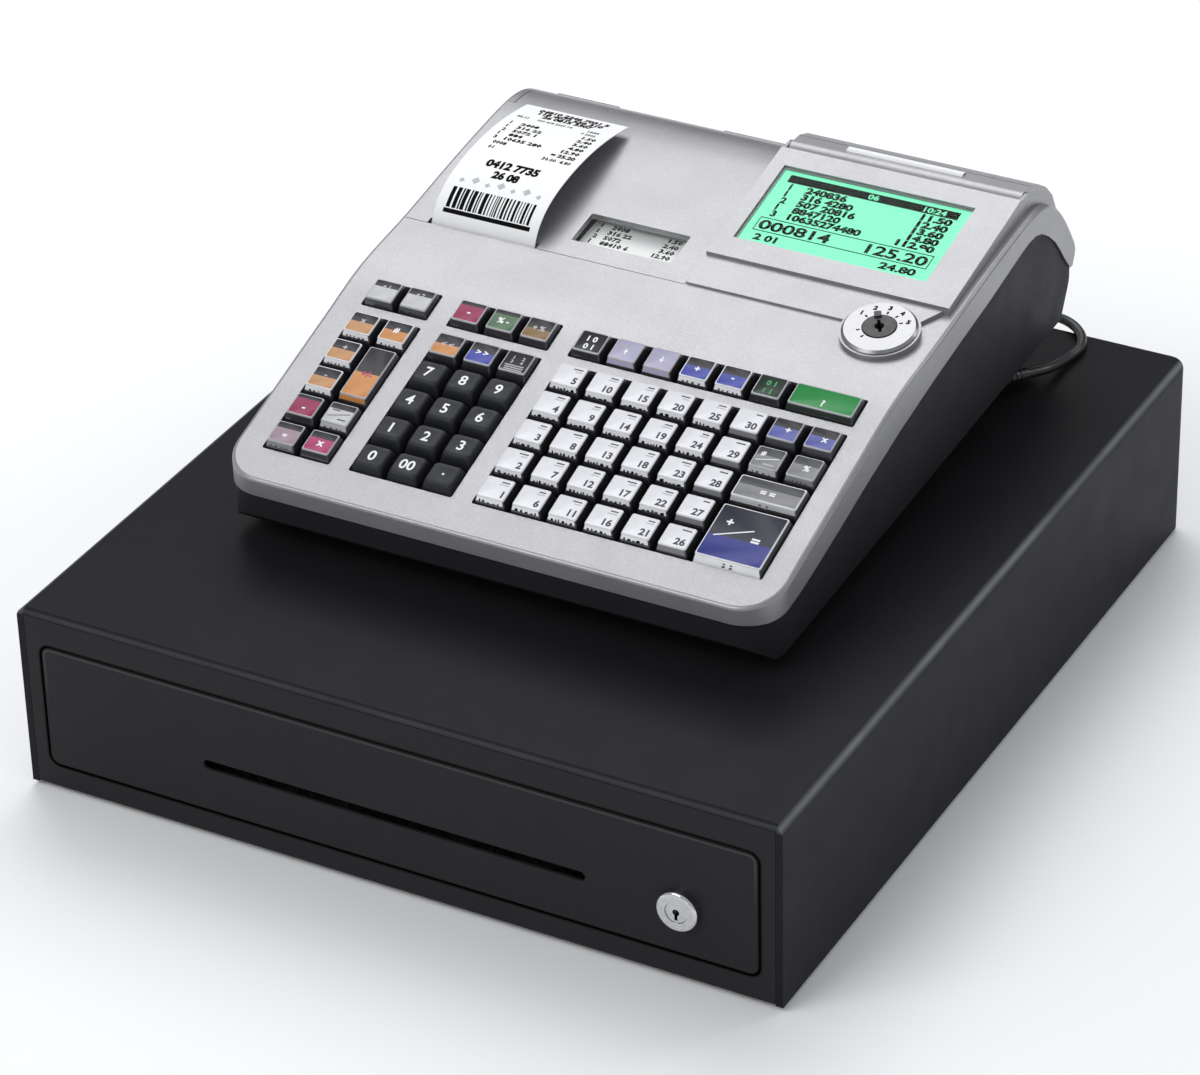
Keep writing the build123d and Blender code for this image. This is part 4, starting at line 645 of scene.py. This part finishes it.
# zones, front, legend (text, u, v, size, ink)
SPEC = {
    ("A", 0, 0): ([(0.34, "black"), (0.66, "lightgrey")], None, [("+ 1", 0, 3.2, 2.6, P_)]),
    ("A", 1, 0): ([(0.34, "black"), (0.66, "lightgrey")], None, [("+ 2", 0, 3.2, 2.6, P_)]),
    ("B", 0, 4): ([(0.46, "black"), (0.54, "tan")], "white", [("x", 0, 2.6, 3.6, P_)]),
    ("B", 0, 3): ([(0.46, "black"), (0.54, "tan")], "white", [("+", 0, 2.6, 3.6, P_)]),
    ("B", 0, 2): ([(0.46, "black"), (0.54, "tan")], "white", [("-", 0, 2.6, 3.6, P_)]),
    ("B", 0, 1): ([(0.20, "black"), (0.80, "crimson")], "black", [("-", 0, -0.6, 4.4, W)]),
    ("B", 0, 0): ([(0.30, "black"), (0.70, "mauve")], "grey", [("=", 0, -1.0, 3.4, W)]),
    ("B", 1, 4): ([(0.46, "black"), (0.54, "orange")], "white", [("#", 0, 1.6, 3.6, W)]),
    ("B", 1, 1): ([(0.30, "black"), (0.70, "lightgrey")], "lightgrey", []),
    ("B", 1, 0): ([(0.34, "black"), (0.66, "pink")], "black", [("x", 0.4, 0.2, 4.6, W)]),
    ("B", 1, 2.5): ([(0.52, "black"), (0.48, "orange")], "orange", [("+/-", 0, -0.6, 4.0, K["pink"])]),
    ("C", 0, 0): ([(0.22, "black"), (0.78, "crimson")], "black", [("-", 0, 0.4, 5.4, W)]),
    ("C", 1, 0): ([(0.24, "black"), (0.76, "greygreen")], "black", [("% -", 0, 0.2, 3.8, W)]),
    ("C", 2, 0): ([(0.52, "black"), (0.48, "gold")], "black", [("+ %", 0, 1.0, 3.4, P_)]),
    ("D", 0, 4): ([(0.50, "black"), (0.50, "orange")], "black", [("< <", 0, 0.6, 3.6, P_)]),
    ("D", 1, 4): ([(0.46, "black"), (0.54, "blue")], "black", [("> >", 0, 1.0, 3.6, W)]),
    ("D", 2, 4): ([(1.0, "black")], "black", [("1", -2.6, 3.0, 2.2, P_), ("2", 2.6, 3.0, 2.2, P_), ("3", -2.6, 0.4, 2.2, P_), ("4", 2.6, 0.4, 2.2, P_)]),
    ("E", 0, 0): ([(1.0, "black2")], "black2", [("1 0", 0, 2.4, 3.6, W), ("0 1", 0, -2.6, 3.6, W)]),
    ("E", 1, 0): ([(1.0, "lavender")], "lavender", []),
    ("E", 2, 0): ([(1.0, "lavender")], "lavender", []),
    ("E", 3, 0): ([(0.42, "black"), (0.58, "blue")], "white", [("+", 0, 0.2, 4.0, W)]),
    ("E", 4, 0): ([(0.42, "black"), (0.58, "blue")], "white", [("-", 0, 0.2, 4.0, W)]),
    ("E", 5, 0): ([(1.0, "darkgreen")], "black2", [("0 1", 0, 2.4, 3.4, K["ink_green"]), ("1 1", 0, -2.6, 3.4, K["ink_green"])]),
    ("E", 6.5, 0): ([(1.0, "green")], "darkgreen", [("?", 0, -1.8, 5.2, W)]),
    ("F", 6, 4): ([(0.42, "black"), (0.58, "peri")], "darkgrey", [("+", 1.4, 0.6, 4.0, W)]),
    ("F", 7, 4): ([(0.42, "black"), (0.58, "peri")], "darkgrey", [("x", 1.4, 0.6, 4.0, W)]),
    ("F", 6, 3): ([(0.40, "darkgrey"), (0.60, "grey")], "lightgrey", [("#", -3.2, 3.0, 3.0, W)]),
    ("F", 7, 3): ([(0.40, "darkgrey"), (0.60, "grey")], "grey", [("%", 1.0, 0.2, 3.6, W)]),
    ("F", 6.5, 2): ([(0.40, "darkgrey"), (0.60, "grey")], "lightgrey", [("= =", 0, -0.6, 5.4, W)]),
    ("F", 6.5, 0.5): ([(0.58, "navy"), (0.42, "deepblue")], "white", [("+", -9.0, 6.6, 6.6, W), ("=", 7.2, -0.6, 7.6, W)]),
}
DIGITS = {(0, 3): "7", (1, 3): "8", (2, 3): "9", (0, 2): "4", (1, 2): "5", (2, 2): "6",
          (0, 1): "1", (1, 1): "2", (2, 1): "3", (0, 0): "0", (1, 0): "00", (2, 0): "."}


def front_place(x, s, ny):
    """On the sloping front face of a key: u across, v up from the skirt, n out of the slope."""
    d = PITCH * (ny - 1) + KEY
    a = math.atan2(2.7, 4.8)
    def place(u, v, n):
        t = v / 5.507
        return DECK(x + u, s - d / 2 + 2.7 * t - n * math.cos(a), -1.6 + 4.8 * t + n * math.sin(a))
    return place


for name, keys in KEYS.items():
    kb = Keys()
    pr = Print(lambda u, v, n: DECK(u, v, n), 0.03)
    for blk, col, row, nx, ny in keys:
        x, s = grid(blk, col, row)
        if name.startswith("number"):
            kb.solid(x, s)
            d = DIGITS[(col, row)]
            if d == ".":
                dot = [(x + 0.62 * math.cos(math.radians(a)), s + 0.9 + 0.62 * math.sin(math.radians(a))) for a in range(0, 360, 30)]
                pr.poly(dot, W, 3.02)
            else:
                pr.text(d, x - 0.3, s - 1.9, 8.2 if d != "00" else 8.0, W, "c", 0.02, n=3.05, res=5)
        elif name.startswith("item"):
            plain = col == 5
            kb.cap(x, s, 1, 1, [(1.0, "label")], "grey" if plain else "white", 0.45 if plain else 0.75, "rimw")
            num = col * 5 + row + 1
            pr.text(str(num), x + 5.3, s - 4.0, 5.5, G, "r", 0.035, n=3.13)
            for k in range(2 if not plain else 1):
                wd = 3.4 + 1.4 * ((num * 7 + k) % 3) / 2
                pr.bar(x + 5.4 - wd, s + 4.7 - 1.5 * k, x + 5.4, s + 5.4 - 1.5 * k, P_ if k else G, 3.13)
            if not plain:
                # small print on the sloping front, cut off by its lower edge
                fp = Print(front_place(x, s, 1), 0.03)
                fp.bm = pr.bm
                fp.mats = pr.mats
                rr = random.Random(num)
                u = -5.6
                while u < 5.0:
                    wd = rr.uniform(0.7, 2.2)
                    hgt = rr.uniform(0.5, 1.5)
                    lowv = 2.62
                    fp.poly([(u, lowv), (u + wd, lowv), (u + wd * rr.uniform(0.6, 1.0), lowv + hgt), (u + wd * rr.uniform(0.0, 0.3), lowv + hgt * 0.9)],
                            B_ if rr.random() < 0.7 else G, 0.012)
                    u += wd + rr.uniform(0.25, 1.3)
        else:
            zones, front, legend = SPEC[(blk, col, row)]
            big = (blk, col, row) in (("F", 6.5, 0.5), ("F", 6.5, 2))
            flap = 0.55
            if name == "total_key":
                flap = -1.2
            kb.cap(x, s, nx, ny, zones, front, flap, "rimw" if front in ("white",) or name in ("total_key", "subtotal_key") else "rim")
            for t, u, v, size, ink in legend:
                q = 1.0 if size > 5.0 else 1.28
                pr.text(t, x + u, s + v - size * q * 0.33, size * q, ink, "c", 0.035, n=3.13)
            if (blk, col, row) == ("F", 6.5, 0.5):
                pr.line((x - 13.2, s - 2.6), (x + 4.2, s + 5.0), 0.7, W, 3.13)
            if (blk, col, row) == ("F", 6, 3):
                pr.line((x - 5.6, s - 1.6), (x + 5.4, s + 1.4), 0.45, W, 3.13)
                pr.bar(x - 1.0, s - 3.6, x + 4.6, s - 2.8, P_, 3.13)
            if (blk, col, row) == ("B", 1, 1):
                pr.line((x - 5.6, s - 1.8), (x + 5.4, s + 1.6), 0.45, K["darkgrey"], 3.13)
                pr.bar(x - 4.8, s + 2.2, x - 0.6, s + 2.9, K["darkgrey"], 3.13)
                pr.bar(x + 0.4, s - 3.2, x + 4.8, s - 2.4, K["darkgrey"], 3.13)
            if (blk, col, row) == ("D", 2, 4):
                for k in range(3):
                    pr.bar(x - 5.2 + 0.3 * k, s - 2.2 - 1.3 * k, x + 5.0, s - 1.6 - 1.3 * k, P_, 3.13)
            if blk == "E" and col in (1, 2):
                up = 1 if col == 1 else -1
                pts = [(x - 1.3, s + 0.2 - 0.5 * up), (x + 1.3, s + 0.2 - 0.5 * up), (x, s + 0.2 + 1.5 * up)]
                pr.poly(pts if up > 0 else pts[::-1], W, 3.13)
                pr.bar(x - 0.32, s + (-2.0 if up > 0 else 0.6), x + 0.32, s + (-0.2 if up > 0 else 2.4), W, 3.13)
            if front in ("white", "lightgrey", "grey") and blk in ("B", "E", "F"):
                fp = Print(front_place(x, s, ny), 0.03)
                fp.bm = pr.bm
                fp.mats = pr.mats
                if name in ("total_key", "subtotal_key"):
                    for u in (-2.6, 1.0):
                        fp.poly([(u, 1.6), (u + 1.5, 1.6), (u + 1.9, 2.6), (u + 0.4, 2.6)], G, 0.012)
                        fp.poly([(u + 0.5, 3.1), (u + 1.9, 3.1), (u + 1.7, 3.8), (u + 0.6, 3.8)], G, 0.012)
                else:
                    rr = random.Random(int(x * 10) + int(s))
                    u = -5.2
                    while u < 4.6:
                        wd = rr.uniform(0.6, 1.8)
                        fp.poly([(u, 2.55), (u + wd, 2.55), (u + wd * 0.8, 2.55 + rr.uniform(0.4, 1.2)), (u + wd * 0.2, 3.3)], G, 0.012)
                        u += wd + rr.uniform(0.5, 1.8)
        kb.stem(x, s, nx, ny)
    make(name + "_caps", kb.bm, kb.mats, name, 38, (name,))
    pr.done(name + "_legends", name)


# ---------------------------------------------------------------- operator display: lit figures
LS = 42.56
pl = Print(lambda u, v, n: PANEL(u, LS + v, -2.1 + 0.015 + n), 0.03)
L_ = K["ink_lcd"]
GL = M["lcd_face"]
pl.bar(-46.0, 19.4, 45.6, 25.0, L_)
for t, u in (("06", 0.0), ("10:24", 33.0)):
    pl.text(t, u, 20.5, 4.9, GL, "c", 0.02, n=0.03, sx=1.2)
rows = [("1", "240836", "11.50"), ("1", "316 4280", "12.40"), ("2", "507 20816", "13.60"), ("1", "8847120", "14.80"), ("3", "10635274480", "112.90")]
for i, (q, a, b) in enumerate(rows):
    v = 14.4 - 5.25 * i
    pl.text(q, -43.0, v, 6.0, L_, "l", 0.05)
    pl.text(a, -34.0, v, 6.0, L_, "l", 0.055, sx=1.22)
    pl.text(b, 44.5, v, 6.0, L_, "r", 0.06, sx=1.30)
pl.bar(-46.5, -8.9, 46.5, -8.3, L_)
pl.bar(-46.5, -18.3, -46.0, -8.6, L_)
pl.bar(46.0, -18.3, 46.5, -8.6, L_)
pl.bar(-46.5, -18.5, 46.5, -17.9, L_)
pl.text("000814", -45.0, -16.7, 9.4, L_, "l", 0.03, sx=1.35)
pl.text("125.20", 45.0, -16.7, 9.4, L_, "r", 0.03, sx=1.35)
pl.text("2 01", -43.5, -24.8, 6.0, L_, "l", 0.05, sx=1.25)
pl.text("24.80", 43.0, -24.8, 6.4, L_, "r", 0.045, sx=1.35)
pl.done("lcd_figures", "cabinet")


# ---------------------------------------------------------------- receipt and journal print
rp = Print(drop_on("receipt_paper"), 0.03)
RX = -100.8
for k, (v, t) in enumerate(((141.4, "04810 2246 7031 5"), (137.6, "118 4072 556 310"), (133.9, "26 0815 3307"))):
    rp.text(t, RX + 1.0, v, 4.5, B_, "c", 0.06, sx=1.12, res=2)
rp.text("02-11", RX - 25.0, 129.4, 3.0, B_, "l", 0.045, res=1)
rp.text("000 418 2260 14", RX - 13.4, 129.4, 2.9, B_, "l", 0.03, res=1)
rp.text("10:24", RX + 15.5, 129.4, 3.0, B_, "l", 0.045, res=1)
rp.text("7 3305", RX + 13.6, 125.4, 3.0, B_, "l", 0.03, res=1)
items = [("1", "2408", "1.50"), ("1", "316 22", "2.40"), ("2", "5072 1", "3.60"), ("1", "884", "4.80"), ("3", "10635 280", "12.90")]
for i, (q, a, b) in enumerate(items):
    v = 120.6 - 4.3 * i
    rp.text(q, RX - 24.0, v, 3.9, B_, "l", 0.05, res=1)
    rp.text(a, RX - 18.0, v, 3.9, B_, "l", 0.05, res=1, sx=1.3)
    rp.text(b, RX + 24.6, v, 3.9, B_, "r", 0.05, res=1, sx=1.25)
rp.text("0008", RX - 22.0, 98.8, 3.8, B_, "l", 0.045, res=1)
rp.text("= 25.20", RX + 24.6, 98.8, 3.8, B_, "r", 0.055, res=2, sx=1.15)
rp.text("01", RX - 22.0, 94.2, 3.6, B_, "l", 0.035, res=1)
rp.text("30.00  4.80", RX + 24.6, 94.2, 3.6, B_, "r", 0.035, res=1)
# generic device: large figures over a row of lozenges and a band of bars
rp.text("0412 7735", RX - 1.0, 80.4, 7.2, B_, "c", 0.06, sx=0.95)
rp.text("26 08", RX - 1.0, 73.2, 6.6, B_, "c", 0.06, sx=0.95)
for i in range(7):
    cx, cy = RX - 21.6 + 7.2 * i, 68.2 + (0.9 if i % 2 else -0.4)
    q = 2.3 if i % 2 else 1.5
    rp.poly([(cx - q, cy), (cx, cy - q), (cx + q, cy), (cx, cy + q)], P_)
rr = random.Random(11)
u = RX - 23.6
while u < RX + 23.0:
    wd = rr.choice((0.55, 0.9, 1.4, 2.1))
    rp.bar(u, 54.2, min(u + wd, RX + 23.8), 63.6, B_, step=1.2)
    u += wd + rr.choice((0.5, 0.8, 1.1))
rp.bar(RX - 24.4, 52.4, RX + 24.4, 53.8, B_, step=0.7)
rp.done("receipt_print", "printer_cover")

jp = Print(drop_on("journal_paper"), 0.03)
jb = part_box("journal_paper")
jx0, jx1 = jb[0].x / MM, jb[1].x / MM
for i, (q, a, b) in enumerate([("1", "2408", "1.50"), ("1", "316 22", "2.40"), ("2", "5072", "3.60"), ("1", "88410 6", "12.90")]):
    v = 84.2 - 4.6 * i
    jp.text(q, jx0 + 4.0, v, 4.3, B_, "l", 0.05, res=1)
    jp.text(a, jx0 + 10.0, v, 4.3, B_, "l", 0.05, res=1, sx=1.1)
    jp.text(b, jx1 - 8.0, v, 4.3, B_, "r", 0.05, res=1, sx=1.1)
jp.done("journal_print", "cabinet")


# ---------------------------------------------------------------- near-white strip laid along the top of the rear display
K["strip"] = plastic("pale_strip", lin(238, 238, 240), 0.35, 0.5, 0.03, 60, 1500, 0.05, 0.00003, 0.04, 0.2, 0.1)
fs = Print(drop_on("rear_display", 0.0), 0.25)
NS = 42
for i in range(NS):
    ua, ub = 43.2 + 62.6 * i / NS, 43.2 + 62.6 * (i + 1) / NS
    for va, vb in ((160.65, 161.5), (161.5, 164.3), (164.3, 165.3)):
        fs.poly([(ua, va), (ub, va), (ub, vb), (ua, vb)], K["strip"])
fs.done("pale_strip", "rear_display")


# ---------------------------------------------------------------- mode switch: scale on the ring
mp = Print(lambda u, v, n: MODE(u, v, 4.0 + 0.01 + n), 0.04)
for k, ang in enumerate((152, 122, 92, 62, 32)):
    a = math.radians(ang)
    mp.line((9.4 * math.cos(a), 9.4 * math.sin(a)), (11.2 * math.cos(a), 11.2 * math.sin(a)), 0.9, B_)
    mp.text(str(k + 1), 13.8 * math.cos(a), 13.8 * math.sin(a) - 1.3, 3.8, B_, "c", 0.06)
for ang in (212, 242):
    a = math.radians(ang)
    mp.line((9.4 * math.cos(a), 9.4 * math.sin(a)), (11.2 * math.cos(a), 11.2 * math.sin(a)), 0.9, B_)
mp.done("mode_scale", "cabinet")


# ---------------------------------------------------------------- mains lead
REL = [(140.7, 166.0, 109.5), (146.5, 176.4, 107.9), (147.6, 189.6, 104.9), (148.4, 201.4, 102.9), (150.0, 213.8, 102.8),
       (144.0, 226.8, 103.1), (131.4, 235.6, 103.3), (117.2, 242.6, 98.4), (105.6, 247.4, 85.2), (101.4, 249.8, 68.2),
       (100.2, 249.6, 50.0), (99.2, 250.4, 33.0), (99.8, 256.2, 17.2), (100.8, 268.4, 6.2), (100.2, 284.0, 2.9), (100.0, 299.0, 2.8)]
pts = [Vector(p) * MM for p in REL]
CX, CY = 67.0, 303.0
SL = [(33.0, 2.8), (27.5, 2.8), (22.0, 2.8), (22.0, 7.8), (27.5, 7.8), (22.0, 12.8), (27.5, 12.8), (33.0, 12.8), (33.0, 7.8)]
STEP = 24
turns = 8.5
for i in range(1, int(turns * STEP) + 1):
    q = i / STEP
    k = int(q)
    fpart = q - k
    a = 2 * math.pi * q
    if k >= len(SL) - 1:
        r, z = SL[-1]
    else:
        # each turn keeps its place for half a round and moves to the next during the other half
        t = min(1.0, max(0.0, (fpart - 0.5) / 0.5))
        t = t * t * (3 - 2 * t)
        r = SL[k][0] + (SL[k + 1][0] - SL[k][0]) * t
        z = SL[k][1] + (SL[k + 1][1] - SL[k][1]) * t
    pts.append(Vector((CX + r * math.cos(a), CY + r * math.sin(a), z)) * MM)
pts += [Vector((34.0, 299.0, 7.6)) * MM, Vector((34.0, 294.0, 7.4)) * MM, Vector((34.0, 288.6, 7.4)) * MM]
cu = bpy.data.curves.new("mains_lead", "CURVE")
cu.dimensions = "3D"
cu.bevel_depth = 0.0025
cu.bevel_resolution = 5
cu.resolution_u = 6
cu.use_fill_caps = True
sp = cu.splines.new("NURBS")
sp.points.add(len(pts) - 1)
for p, q in zip(sp.points, pts):
    p.co = (*q, 1.0)
sp.order_u = 3
sp.use_endpoint_u = True
cu.materials.append(M["cord_jacket"])
lead = bpy.data.objects.new("mains_lead", cu)
scene.collection.objects.link(lead)
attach(lead, "cabinet")
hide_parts("mains_cord", "cord_coil")


# ---------------------------------------------------------------- floor, light, camera
me = bpy.data.meshes.new("floor")
me.from_pydata([(-4, -4, 0), (4, -4, 0), (4, 4, 0), (-4, 4, 0)], [], [(0, 1, 2, 3)])
fl = bpy.data.objects.new("floor", me)
k = Nodes("floor")
k.link(k.ramp(k.noise(1.2, 2), [(0.3, 0.935), (0.7, 0.945)]), k.p.inputs["Base Color"])
k.set(rough=0.75, spec=0.15)
me.materials.append(k.m)
scene.collection.objects.link(fl)

w = bpy.data.worlds.new("w")
scene.world = w
w.use_nodes = True
bg = w.node_tree.nodes["Background"]
bg.inputs[0].default_value = (0.93, 0.96, 1.0, 1)
# pale all round, dark low down behind
wt = w.node_tree
tc = wt.nodes.new("ShaderNodeTexCoord")
sx = wt.nodes.new("ShaderNodeSeparateXYZ")
ma = wt.nodes.new("ShaderNodeMath")
ma.operation = "MULTIPLY_ADD"
ma.inputs[1].default_value = -1.2
mr = wt.nodes.new("ShaderNodeMapRange")
mr.interpolation_type = "SMOOTHSTEP"
mr.inputs["From Min"].default_value, mr.inputs["From Max"].default_value = -0.05, 0.65
mr.inputs["To Min"].default_value, mr.inputs["To Max"].default_value = 0.56, 0.08
wt.links.new(tc.outputs["Generated"], sx.inputs[0])
wt.links.new(sx.outputs["Z"], ma.inputs[0])
wt.links.new(sx.outputs["Y"], ma.inputs[2])
wt.links.new(ma.outputs[0], mr.inputs[0])
wt.links.new(mr.outputs[0], bg.inputs[1])


def area(name, loc, to, size, size_y, power, col=(1, 1, 1)):
    d = bpy.data.lights.new(name, "AREA")
    d.shape = "RECTANGLE"
    d.size, d.size_y, d.energy, d.color = size, size_y, power, col
    ob = bpy.data.objects.new(name, d)
    scene.collection.objects.link(ob)
    ob.location = loc
    ob.rotation_euler = (Vector(to) - Vector(loc)).to_track_quat("-Z", "Y").to_euler()
    return ob


area("key_light", (-0.8, 1.35, 2.35), (0.0, 0.0, 0.1), 2.2, 1.8, 37)
area("front_fill", (-0.9, -1.9, 2.1), (0, 0, 0.1), 1.6, 1.1, 25)
area("side_light", (1.5, 1.75, 1.35), (0, 0, 0.1), 0.5, 0.9, 6)

AZ, EL, ROLL = 0.5075108, 0.5577362, -0.0259061
fw = Vector((-math.sin(AZ) * math.cos(EL), math.cos(AZ) * math.cos(EL), -math.sin(EL)))
r0 = fw.cross(Vector((0, 0, 1))).normalized()
u0 = r0.cross(fw)
r1 = r0 * math.cos(ROLL) + u0 * math.sin(ROLL)
u1 = u0 * math.cos(ROLL) - r0 * math.sin(ROLL)
cam = bpy.data.cameras.new("cam")
cam.lens, cam.sensor_width, cam.clip_start, cam.clip_end = 146.75, 36.0, 0.1, 20.0
co = bpy.data.objects.new("cam", cam)
scene.collection.objects.link(co)
co.matrix_world = Matrix(((r1.x, u1.x, -fw.x, 0.97501), (r1.y, u1.y, -fw.y, -1.77488), (r1.z, u1.z, -fw.z, 1.33132), (0, 0, 0, 1)))
scene.camera = co
